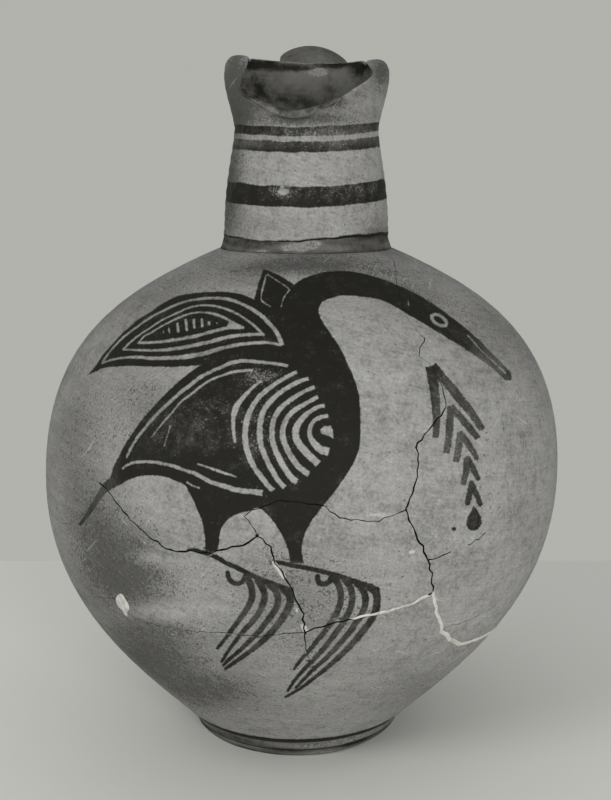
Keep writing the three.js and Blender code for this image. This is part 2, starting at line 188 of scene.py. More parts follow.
def unit(vectors: Array) -> Array:
    """Brings each vector to a length of 1."""
    return vectors / np.linalg.norm(vectors, axis=-1, keepdims=True)


def beside(points: Array, distance: Values) -> Array:
    """Moves the points of outlines sideways, to the left of their direction.

    Args:
        points: Outlines in the last two axes of the array.
        distance: How far each point moves.

    Returns:
        The moved points.
    """
    ahead = np.concatenate([points[..., 1:, :], points[..., -1:, :]], axis=-2)
    behind = np.concatenate([points[..., :1, :], points[..., :-1, :]], axis=-2)
    along = unit(ahead - behind)
    left = np.stack([-along[..., 1], along[..., 0]], axis=-1)
    return points + left * np.asarray(distance)[..., None]


def blended(low: Values, high: Values, share: Values) -> Values:
    """Mixes two values by a share from 0 to 1."""
    return low + (high - low) * share


def eased(value: Array, low: float, high: float) -> Array:
    """Rises smoothly from 0 at low to 1 at high."""
    share = np.clip((value - low) / (high - low), 0, 1)
    return share * share * (3 - 2 * share)


def azimuths(points: Array) -> Array:
    """Azimuth of each point in degrees."""
    return np.degrees(np.arctan2(points[:, 0], -points[:, 1]))


def radii(points: Array) -> Array:
    """Distance of each point from the upright axis."""
    return np.hypot(points[:, 0], points[:, 1])


def around(radius: Array, turn: Array, height: Array) -> Array:
    """Places at radii, azimuths in radians and heights."""
    return np.column_stack([radius * np.sin(turn), -radius * np.cos(turn), height])


def bell(value: Array, middle: float, width: float) -> Array:
    """A soft bump of height 1 round a middle."""
    return np.exp(-(((value - middle) / width) ** 2))


def ripple(points: Array, wave: float, seed: int) -> Array:
    """Smooth unevenness over a surface, made of a few crossed waves.

    Args:
        points: Places in millimetres.
        wave: Length of the longest wave in millimetres.
        seed: Picks the waves.

    Returns:
        Values of about -1 to 1.
    """
    waves = 7
    shortest = 0.45
    usual_peak = 4.0
    chance = np.random.default_rng(seed)
    total = np.zeros(len(points))
    for _ in range(waves):
        direction = chance.normal(size=3)
        direction /= np.linalg.norm(direction)
        length = wave * chance.uniform(shortest, 1.0)
        total += np.sin(points @ direction * (2 * math.pi / length) + chance.uniform(0, 2 * math.pi))
    return total / usual_peak


# The view of the picture, and the painted figure


@dataclass(frozen=True)
class PhotoView:
    """Where the picture is seen from: place in millimetres, pitch in degrees, focal length in pixels."""

    place: Triple = (1.6, -476.0, 227.0)
    pitch: float = 11.05
    focal: float = 1204.0
    width: int = 611
    height: int = 800
    sensor: float = 36.0
    nearest: float = 0.01

    def pixels(self, points: Array) -> Array:
        """Finds the pixel at which each point shows.

        Args:
            points: Places in millimetres.

        Returns:
            One pixel for each place.
        """
        reach = points - np.array(self.place)
        sine = math.sin(math.radians(self.pitch))
        cosine = math.cos(math.radians(self.pitch))
        depth = reach[:, 1] * cosine - reach[:, 2] * sine
        rise = reach[:, 1] * sine + reach[:, 2] * cosine
        across = self.width / 2 + self.focal * reach[:, 0] / depth
        return np.column_stack([across, self.height / 2 - self.focal * rise / depth])

    def set_camera(self) -> None:
        """Adds the camera of this view and makes it the scene's camera."""
        bpy.ops.object.camera_add(
            location=[value * MM for value in self.place],
            rotation=(math.radians(90 - self.pitch), 0, 0),
        )
        camera = bpy.context.object
        camera.name = "photo_camera"
        camera.data.sensor_width = self.sensor
        camera.data.lens = self.focal * self.sensor / self.height
        camera.data.clip_start = self.nearest
        bpy.context.scene.camera = camera


# Greatest distance from a painted edge that is kept, in pixels, and the size of a pixel on the jug
PAINT_FAR = 12.0
PIXEL_MM = 0.37
STROKE_STEP = 3.0
OUTLINE_STEP = 4.0
FLAT_END_MARGIN = 3


def segment_distance(pixels: Array, start: Array, end: Array) -> Pair:
    """Measures how far pixels lie from a straight stretch.

    Args:
        pixels: The pixels to measure.
        start: The stretch's first end.
        end: The stretch's other end.

    Returns:
        The distances, and the share of the stretch at which each pixel's nearest point lies.
    """
    along = end - start
    share = np.clip((pixels - start) @ along / max(along @ along, 1e-9), 0, 1)
    return np.linalg.norm(pixels - start - share[:, None] * along, axis=1), share


def close_to(pixels: Array, line: Array, margin: float) -> Array:
    """Tells which pixels lie in a line's box, grown by a margin."""
    inside = (pixels > line.min(axis=0) - margin) & (pixels < line.max(axis=0) + margin)
    return np.all(inside, axis=1)


@dataclass(frozen=True)
class Brush:
    """A brush stroke: the pixels along its line, its widths at the ends and the middle, and its ends.

    Where a width is under 0, only a broken trail of specks is left.
    """

    line: Marks
    start: float
    end: float
    middle: float = 0.0
    flat: bool = False
    closed: bool = False

    def signed(self, pixels: Array) -> Array:
        """Measures how far pixels lie from the stroke's edge.

        Args:
            pixels: The pixels to measure.

        Returns:
            The distances, negative inside the stroke.
        """
        line = smooth_line(self.line, STROKE_STEP, self.closed)
        if self.closed:
            line = np.vstack([line, line[:1]])
        widths = (self.start, self.middle or (self.start + self.end) / 2, self.end)
        half = np.interp(np.linspace(0, 1, len(line)), (0, 0.5, 1), widths) / 2
        found = np.full(len(pixels), PAINT_FAR)
        near = close_to(pixels, line, PAINT_FAR + half.max())
        spots = pixels[near]
        nearest = found[near]
        for i in range(len(line) - 1):
            distance, share = segment_distance(spots, line[i], line[i + 1])
            nearest = np.minimum(nearest, distance - blended(half[i], half[i + 1], share))
        if self.flat:
            for end, inner in ((line[0], line[1]), (line[-1], line[-2])):
                past = (spots - end) @ ((end - inner) / np.linalg.norm(end - inner))
                beside_end = np.linalg.norm(spots - end, axis=1) < half.max() + FLAT_END_MARGIN
                nearest = np.where(beside_end, np.maximum(nearest, past), nearest)
        found[near] = nearest
        return found


@dataclass(frozen=True)
class Patch:
    """A filled shape: the pixels round its edge."""

    edge: Marks

    def signed(self, pixels: Array) -> Array:
        """Measures how far pixels lie from the shape's edge.

        Args:
            pixels: The pixels to measure.

        Returns:
            The distances, negative inside the shape.
        """
        line = smooth_line(self.edge, OUTLINE_STEP, True)
        found = np.full(len(pixels), PAINT_FAR)
        near = close_to(pixels, line, PAINT_FAR)
        spots = pixels[near]
        nearest = found[near]
        inside = np.zeros(len(spots), bool)
        for start, end in zip(line, np.roll(line, -1, axis=0)):
            distance, _ = segment_distance(spots, start, end)
            nearest = np.minimum(nearest, distance)
            spans = (start[1] > spots[:, 1]) != (end[1] > spots[:, 1])
            if spans.any():
                crossing = start[0] + (spots[:, 1] - start[1]) * (end[0] - start[0]) / (end[1] - start[1])
                inside ^= spans & (spots[:, 0] < crossing)
        found[near] = np.where(inside, -nearest, nearest)
        return found


@dataclass(frozen=True)
class Spot:
    """A soft spot in the picture: its middle and half sizes in pixels, and its strength."""

    x: float
    y: float
    wide: float
    high: float
    strength: float = 1.0

    def at(self, pixels: Array) -> Array:
        """Strength of the spot at each pixel."""
        away = (pixels - (self.x, self.y)) / (self.wide, self.high)
        return self.strength * np.exp(-(away * away).sum(axis=1))


def spots_at(spots: tuple[Spot, ...], pixels: Array) -> Array:
    """Joint strength of several spots at each pixel, from -1 to 1."""
    return np.clip(sum((spot.at(pixels) for spot in spots), np.zeros(len(pixels))), -1, 1)


UPPER_WING = Patch((
    (86.7, 375), (95, 366), (100, 358), (110, 346), (120, 335), (130, 326), (140, 318), (150, 311.5),
    (160, 304.5), (170, 299), (180, 295), (190, 293), (205, 291.5), (220, 291), (230, 291.7), (240, 293.3),
    (250, 297), (254, 299), (276, 303), (300, 330), (300, 368), (240, 368), (200, 365), (187, 366),
    (173, 366.7), (150, 366.5), (125, 366), (113, 366.7), (103, 368), (95, 371.7),
))
BIRD = Patch((
    (200, 365.3), (190, 371.7), (180, 380), (170, 389), (160, 399), (150, 410), (140, 421.7), (133, 431.7),
    (127.5, 440), (122.5, 448), (117.5, 458), (112.5, 468), (110, 476.7), (104, 482.5), (98, 491),
    (92, 502), (85, 514), (77.5, 525), (80, 526), (90, 514.5), (99, 502), (105, 494), (110, 490),
    (118, 486), (125, 481.7), (133, 478.3), (141.7, 476), (150, 475.5), (160, 476), (170, 479),
    (180, 483), (185, 485.5), (188, 491), (193, 500.5), (197.5, 511), (201.5, 521), (204, 531),
    (205, 540), (205, 549), (217, 553), (219, 542), (220, 533), (223, 525), (230, 518), (240, 513),
    (250, 511), (258.3, 508.3), (263, 511), (270, 518), (276.7, 526.7), (281.7, 535), (286, 544),
    (288.7, 553), (290, 564), (304, 563), (302, 554), (301.7, 547), (303.5, 539), (306.7, 530.5),
    (311.4, 521.4), (317, 514), (323.3, 506), (331, 496.5), (338, 487.5), (344.5, 478.3), (350, 469.7),
    (355, 460.7), (358.5, 451.5), (360, 441), (360.5, 430), (360.4, 417), (360, 405), (359, 395),
    (357, 386.5), (354.5, 378.8), (351.5, 371), (347.3, 362), (342.3, 351.3), (336.7, 342),
    (330.3, 332.7), (325, 325), (320.5, 317), (318.7, 309.7), (320, 304.7), (323, 301), (330, 298),
    (340, 295.5), (350, 295), (360, 295.8), (370, 297.3), (380, 299.3), (390, 303.4), (400, 309),
    (411, 315.8), (420, 320.8), (430, 327), (440, 333), (450, 339.3), (460, 345), (470, 352), (480, 359),
    (490, 366), (500, 374.7), (508, 380.8), (511.5, 380), (511.7, 374), (505, 366), (498, 358.5),
    (490, 350.5), (480, 340.3), (470, 331.3), (460, 323), (450, 315.3), (440, 308), (430, 301.3),
    (420, 295.3), (410, 290), (400, 285.7), (390, 281.2), (380, 277.8), (370, 275), (360, 272.6),
    (350, 271), (340, 270.6), (330, 271), (320, 272.5), (310, 275.4), (300, 279.8), (294, 283.5),
    (286.7, 279), (276.7, 274), (267.5, 270), (263.3, 269), (260.8, 275.8), (257.5, 285), (255.3, 293.3),
    (254, 299), (262, 330),
))
FEET = (
    Brush(((188, 549), (200, 551.5), (214, 556.5), (226, 563), (240, 569.5), (254, 576.5), (268, 582.5),
        (282, 587.5), (291, 590.5)), 4.2, 5.8),
    Brush(((227.5, 573), (228.5, 577.5), (231.5, 582), (236.7, 584), (242, 582), (245, 576)), 5.0, 4.8),
    Brush(((246.8, 577.6), (250.5, 585), (252.3, 593), (250.5, 602), (246, 610.5), (239.5, 619.5),
        (231.7, 630), (224.5, 640), (217.5, 648.5)), 7.4, 3.4, 6.0),
    Brush(((257.9, 580.7), (262, 587), (264.7, 595), (263.5, 603), (259.5, 612), (253, 621), (244.5, 630),
        (236.5, 640), (229, 650), (221.5, 662)), 7.4, 3.0, 5.8),
    Brush(((269.6, 584.8), (275, 590), (278, 598), (277, 606), (273, 613.5), (266, 623), (257, 633.7),
        (247.5, 643), (238.5, 652), (230, 659), (223.5, 665.5)), 7.6, 3.2, 6.0),
    Brush(((283.8, 589.6), (288.7, 594), (290.5, 601), (288, 608.7), (283.5, 617), (275.5, 627.5),
        (265.5, 638.5), (254, 648.5), (243, 656.7), (233, 663.7), (225.5, 669)), 8.4, 3.6, 6.6),
    Brush(((272, 562.5), (280, 562.8), (292, 565.5), (305, 567.8), (320, 571), (335, 575), (350, 580),
        (365, 585), (377, 589.5)), 4.4, 5.8),
    Brush(((317.7, 576.7), (318, 581), (321.7, 584), (327, 583.7), (330.5, 580), (333, 575)), 5.6, 5.6),
    Brush(((333, 576), (337.5, 583), (340.7, 592), (341, 600), (338.5, 609), (334, 618), (327, 628.5),
        (318, 640), (310, 650), (301, 660), (294, 669.5)), 7.2, 3.2, 6.0),
    Brush(((345, 580), (350, 587), (352.3, 596), (351.5, 605), (347.5, 615), (341.5, 625.5), (333, 637),
        (324, 648.5), (314, 659.5), (304, 669.5), (294.5, 681), (288, 691)), 7.2, 3.2, 6.0),
    Brush(((357, 583.2), (362.5, 590), (365.5, 598), (364.7, 607), (361, 615.5), (355, 624.5), (346.7, 636),
        (336, 648), (326, 658.5), (316, 667.5), (305.5, 678), (296, 688)), 7.4, 3.2, 6.0),
    Brush(((370.2, 587.4), (375.5, 592), (377.2, 601), (375.7, 610.5), (371.3, 620), (363, 631), (354, 642),
        (345.5, 651), (335.5, 660.5), (324.5, 670), (312.5, 679.5), (301, 688.5),
        (285.5, 697.5)), 8.4, 2.6, 6.2),
)
SPRAY = (
    Brush(((430.7, 366), (433, 379), (434.7, 391), (436.2, 405), (436.7, 420), (436.2, 432),
        (435.7, 438)), 11.0, 6.2, 9.0, True),
    Brush(((433, 365), (442.5, 377), (451.7, 388), (460.5, 399), (468, 408), (474.5, 417), (480, 425.5),
        (483, 430)), 8.0, 6.6, 9.6, True),
    Brush(((450.3, 405), (450.5, 417), (449.8, 429), (448.3, 441), (446.6, 453)), 6.6, 6.6, 7.8, True),
    Brush(((451, 406), (458, 414), (465.5, 422.7), (473, 431.5), (478.6, 438.7)), 6.6, 6.4, 7.6, True),
    Brush(((460, 432), (459.5, 442.5), (458, 453.5), (456, 462)), 6.4, 6.6, 7.6, True),
    Brush(((461.5, 434), (468, 443.6), (473.3, 451.7), (477, 458)), 6.4, 5.0, 7.0),
    Brush(((467, 457.5), (467, 467.5), (465.5, 477), (463.2, 485)), 6.2, 5.6, 7.0, True),
    Brush(((468, 458.5), (472.5, 467), (476.4, 474.3), (478.7, 478.7)), 6.0, 4.6, 6.6),
    Brush(((471.3, 482.5), (470.7, 491), (468.7, 499.5), (467.9, 503)), 4.6, 5.6, 6.0),
    Brush(((472, 483), (475.5, 491.5), (479, 500), (480.7, 504)), 5.4, 5.6, 6.2),
    Patch(((474.2, 505), (478.8, 512.6), (482.3, 520.3), (480.5, 527.3), (474, 531.2), (468.4, 529),
        (466.6, 523.5), (469.4, 514.8))),
    Brush(((453.5, 529), (455, 529.3)), 4.2, 3.6),
)
WING_LINES = (
    Brush(((101, 363.5), (110, 351), (120, 340), (130, 331.5), (150, 317.5), (170, 307), (180, 303),
        (190, 300), (200, 298.3), (210, 297.5), (220, 297.5), (230, 299), (240, 302.5), (250, 307.5),
        (260, 314), (270, 324), (276.7, 331.7), (280, 339), (282, 345)), 1.5, 4.2, 2.1, True),
    Brush(((281.5, 345), (270, 342.5), (260, 342), (250, 343), (240, 344), (230, 346), (220, 348.3),
        (210, 351.3), (200, 354), (190, 355.8), (180, 357), (165, 357.8), (150, 358), (140, 357.2),
        (130, 357), (120, 358), (110, 360), (101, 363.5)), 2.2, 1.4, 4.4, True),
    Brush(((123, 349.3), (130, 342), (140, 334.2), (150, 327.5), (160, 321), (170, 316), (180, 311),
        (190, 307), (200, 305), (210, 305), (220, 306.7), (230, 310), (240, 315), (250, 322),
        (256.7, 327.5), (263, 334)), 1.3, 2.8, 1.6),
    Brush(((263, 334), (250, 334), (240, 334.7), (230, 336), (220, 338.3), (210, 341.3), (200, 343.5),
        (190, 345.8), (180, 347.8), (170, 349), (160, 350), (150, 350.2), (140, 350),
        (123, 349.3)), 2.6, 1.5, 3.8),
    Brush(((139, 342), (144, 336), (150, 333), (160, 326.7), (170, 321.3), (180, 316.7), (190, 313),
        (200, 311.7), (210, 312.5), (220, 315.3), (230, 320.3), (236.7, 324),
        (242.5, 327)), 1.5, 2.4, 1.7),
    Brush(((242.5, 327), (230, 327.3), (220, 329), (210, 331.7), (200, 334.5), (190, 336.7), (180, 338.5),
        (170, 340.3), (160, 341.7), (150, 342.3), (138, 342.8)), 2.8, 2.0, 3.3),
    Patch(((229, 320), (242.5, 326.5), (226, 328))),
    Brush(((163, 330.5), (163.4, 332.5)), 1.3, 1.2),
    Brush(((168.6, 328.5), (169.2, 332)), 1.6, 1.4),
    Brush(((177.2, 323.5), (178, 331)), 2.2, 2.8),
    Brush(((185.6, 319.5), (186.4, 329.5)), 2.3, 2.3),
    Brush(((193.5, 319), (194, 327.3)), 2.3, 2.1),
    Brush(((201.6, 318.8), (202, 325.8)), 2.4, 2.2),
    Brush(((208.8, 321.7), (209.2, 324)), 1.7, 1.5),
    Brush(((216.4, 322), (217, 323)), 1.5, 1.4),
)
BODY_LINES = (
    Brush(((288, 366), (280, 364), (270, 362.8), (260, 361.7), (250, 360.8), (241.7, 360.5), (230, 363),
        (220, 367.5), (210, 371.7), (200, 377), (190, 385), (180, 392.5), (170, 401.7), (160, 410.8),
        (150, 421.7), (140, 434), (133, 444), (129, 451.7), (126, 458)), 3.0, 2.2, 3.6, True),
    Brush(((251.7, 370), (240, 370.8), (230, 372.5), (220, 375.8), (211.7, 379), (200, 386.7), (190, 394.7),
        (180, 402.5), (173, 411), (165, 420), (156.7, 430), (151.7, 436.7)), 2.6, 1.3, 1.8),
    Brush(((121.7, 469), (126.7, 465), (133, 462.8), (143, 461.7), (153, 462), (163, 463.8), (173, 466),
        (183, 469.7), (193, 473), (203, 478), (213, 483), (223, 486), (233, 489), (243, 491),
        (253, 492), (262.5, 493)), 2.2, 5.6, 3.4, True),
    Brush(((198, 464), (210, 468), (220, 471.7), (230, 475), (236, 476.7)), 1.6, 1.2, 2.6),
    Brush(((187, 482.5), (193, 486), (199, 488)), 1.6, 1.2),
    Brush(((170, 426), (167, 436), (164, 446)), 0.9, 0.7),
    Brush(((408.2, 300), (409, 305)), 0.8, 0.6),
    Brush(((468, 335), (475, 343), (481.7, 350.5), (490, 358.3), (498, 365.5),
        (505.5, 372.5)), 1.0, 1.6, 1.2),
    Brush(((431.9, 315.6), (435.6, 313.8), (440.4, 315.2), (444.8, 318.8), (446.9, 322.7), (445.8, 325.2),
        (442, 325.5), (437, 323.2), (432.8, 319.4)), 3.1, 3.1, closed=True),
    Brush(((265.8, 275), (264, 281.7), (262, 290), (261.3, 299), (270, 305.8)), 1.4, 0.9),
    Brush(((267.5, 274), (276.7, 279.7), (285, 285), (289.7, 289), (284, 296.7), (281, 305.8)), 1.1, 0.8),
)
WING_ARCS = (
    Brush(((261, 380.5), (250, 390), (241.7, 399), (236, 407.5), (233.3, 416.7), (233.3, 426.7),
        (234, 436.7), (235, 442)), 1.8, 1.8, 5.8),
    Brush(((297, 371.5), (288, 376), (278, 381.7), (268, 389), (258, 398), (251.7, 407.5), (247.5, 416.7),
        (245.5, 426.7), (245, 436.7), (246, 446.7), (249, 456.7), (254, 466.7), (261, 476.7),
        (267.5, 485), (273, 491)), 3.2, 5.0, 5.6, True),
    Brush(((308.5, 378.2), (300, 381), (290, 386), (280, 392.5), (271.7, 400), (265, 408), (261, 418),
        (259.7, 428), (260, 440), (262.5, 450), (266.7, 460), (272.5, 471), (279, 481.7),
        (284.5, 487.5)), 3.8, 4.8, 5.6, True),
    Brush(((314.5, 387), (305, 391), (295, 396.7), (286.7, 402.5), (279, 410), (274, 419), (272, 428),
        (272, 438), (274.7, 448), (279, 458), (285, 469), (291.7, 478),
        (296.7, 482)), 3.8, 5.8, 5.2, True),
    Brush(((318, 396.7), (310, 401), (301, 406), (292.5, 411.7), (286, 420), (283, 428), (283, 438),
        (286, 446.7), (291, 456), (298, 466), (309, 474.5)), 3.4, 5.8, 5.6, True),
    Brush(((324.5, 405.7), (318.6, 406.4), (311.4, 410.7), (304.3, 416.4), (298.6, 423), (295.7, 430),
        (296.4, 438.6), (301.4, 447), (308.6, 455), (318.3, 464)), 3.2, 7.2, 6.6, True),
    Brush(((328, 415.8), (321, 417), (314, 421), (310, 428), (310, 436), (314, 443), (320, 449),
        (329, 451.8)), 3.4, 8.6, 4.6, True),
    Patch(((320, 429.5), (323, 427), (331.3, 425.3), (333, 431), (333.3, 438.4), (326.7, 435.2),
        (320.8, 433))),
)
CHALK_SMEARS = (
    Brush(((273.2, 562.5), (278, 568.7), (284, 577)), 3.6, 4.6),
    Brush(((294.8, 604), (297, 611)), 2.2, 2.2),
    Brush(((303, 626), (306, 631)), 4.6, 5.4),
    Brush(((410.6, 552.5), (413.2, 551.8)), 3.0, 3.6),
    Brush(((354, 517.5), (374, 515.2), (396, 512.4)), -1.6, -1.6, 1.0),
    Brush(((282, 631.6), (292, 630.6), (303, 629)), -0.8, 0.4),
    Brush(((313.5, 596), (322, 582), (331, 566.5)), -0.9, -0.7, -0.6),
)


def nearest_edge(strokes: tuple[Brush | Patch, ...], pixels: Array) -> Array:
    """Distance of each pixel from the nearest edge of several strokes, negative inside one."""
    return np.minimum.reduce([stroke.signed(pixels) for stroke in strokes])


@dataclass(frozen=True)
class Figure:
    """The painted bird and leaf spray: strokes of slip, lines left bare in them, and smears of filling."""

    slip: tuple[Brush | Patch, ...] = (UPPER_WING, BIRD) + FEET + SPRAY
    bare: tuple[Brush | Patch, ...] = WING_LINES + BODY_LINES + WING_ARCS
    chalk: tuple[Brush | Patch, ...] = CHALK_SMEARS

    def signed(self, pixels: Array) -> Array:
        """Distance of each pixel from the nearest edge of the painting, negative in the slip."""
        return np.maximum(nearest_edge(self.slip, pixels), -nearest_edge(self.bare, pixels))

    def smeared(self, pixels: Array) -> Array:
        """Distance of each pixel from the nearest smear of filling, negative in it."""
        return nearest_edge(self.chalk, pixels)


# Node materials


class Socket:
    """A node's output, with the arithmetic that the finishes use."""

    def __init__(self, shader: "Shader", socket: bpy.types.NodeSocket) -> None:
        """Keeps the socket and the shader that it belongs to."""
        self.shader = shader
        self.socket = socket

    def __add__(self, other: "Socket | float") -> "Socket":
        """Adds a value."""
        return self.shader.math("ADD", self, other)

    def __radd__(self, other: float) -> "Socket":
        """Adds to a number."""
        return self.shader.math("ADD", other, self)

    def __sub__(self, other: "Socket | float") -> "Socket":
        """Takes a value away."""
        return self.shader.math("SUBTRACT", self, other)

    def __rsub__(self, other: float) -> "Socket":
        """Takes this away from a number."""
        return self.shader.math("SUBTRACT", other, self)

    def __mul__(self, other: "Socket | float") -> "Socket":
        """Multiplies by a value."""
        return self.shader.math("MULTIPLY", self, other)

    def __rmul__(self, other: float) -> "Socket":
        """Multiplies a number."""
        return self.shader.math("MULTIPLY", other, self)


class Shader:
    """The node tree of a material or a world, filled by expressions."""

    def __init__(self, owner: Material | bpy.types.World) -> None:
        """Empties the owner's node tree.

        Args:
            owner: The material or world to fill.
        """
        owner.use_nodes = True
        self.tree = owner.node_tree
        self.tree.nodes.clear()

    def node(
        self,
        kind: str,
        settings: dict | None = None,
        inputs: dict | None = None,
        output: int | str = 0,
    ) -> Socket:
        """Adds a node.

        Args:
            kind: The node's type.
            settings: Its properties, set first.
            inputs: Values or links of its inputs, by name or place.
            output: The output that is wanted.

        Returns:
            That output.
        """
        node = self.tree.nodes.new(kind)
        for name, value in (settings or {}).items():
            setattr(node, name, value)
        for name, value in (inputs or {}).items():
            if isinstance(value, Socket):
                self.tree.links.new(value.socket, node.inputs[name])
            else:
                node.inputs[name].default_value = value
        return Socket(self, node.outputs[output] if node.outputs else None)

    def math(self, operation: str, first: Socket | float, second: Socket | float) -> Socket:
        """Adds a Math node on two values."""
        return self.node("ShaderNodeMath", {"operation": operation}, {0: first, 1: second})

    def coordinates(self, stretch: Triple = (1.0, 1.0, 1.0), tilt: float = 0.0) -> Socket:
        """Object coordinates in metres, tilted about the Y axis and then stretched along each axis.

        Args:
            stretch: Factor along each axis.
            tilt: Tilt in degrees.

        Returns:
            The coordinates.
        """
        place = self.node("ShaderNodeTexCoord", output="Object")
        scale = tuple(1 / factor for factor in stretch)
        inputs = {"Vector": place, "Rotation": (0.0, math.radians(tilt), 0.0), "Scale": scale}
        return self.node("ShaderNodeMapping", {"vector_type": "TEXTURE"}, inputs)

    def trace(self, trace: Trace) -> Socket:
        """A point attribute of the piece."""
        return self.node("ShaderNodeAttribute", {"attribute_name": trace.value}, output="Fac")

    def noise(self, place: Socket, scale: float, detail: float = 2.0, roughness: float = 0.5) -> Socket:
        """Smooth noise of about 0 to 1, with waves of 1 / scale metres."""
        inputs = {"Vector": place, "Scale": scale, "Detail": detail, "Roughness": roughness}
        return self.node("ShaderNodeTexNoise", inputs=inputs)

    def eased(self, value: Socket, low: float, high: float) -> Socket:
        """Rises smoothly from 0 at low to 1 at high, or falls where high is less than low.

        Args:
            value: What is eased.
            low: Where the result is 0.
            high: Where the result is 1.

        Returns:
            The eased value.
        """
        limits = {"Value": value, "From Min": low, "From Max": high, "To Min": 0.0, "To Max": 1.0}
        if high < low:
            limits.update({"From Min": high, "From Max": low, "To Min": 1.0, "To Max": 0.0})
        return self.node("ShaderNodeMapRange", {"interpolation_type": "SMOOTHSTEP"}, limits)

    def mixed(self, share: Socket, low: Socket | Colour, high: Socket | Colour) -> Socket:
        """Mixes two colours by a share."""
        inputs = {0: share, 6: low, 7: high}
        return self.node("ShaderNodeMix", {"data_type": "RGBA", "clamp_factor": True}, inputs, 2)

    def surface(self, colour: Socket, rough: Socket, height: Socket, depth: float, gloss: float) -> None:
        """Closes the material with a Principled surface.

        Args:
            colour: Base colour.
            rough: Roughness.
            height: Relief from 0 to 1.
            depth: Height of the relief in metres.
            gloss: Specular level.
        """
        normal = self.node("ShaderNodeBump", inputs={"Height": height, "Distance": depth, "Strength": 1.0})
        inputs = {"Base Color": colour, "Roughness": rough, "Normal": normal, "Specular IOR Level": gloss}
        surface = self.node("ShaderNodeBsdfPrincipled", inputs=inputs)
        self.node("ShaderNodeOutputMaterial", inputs={"Surface": surface})


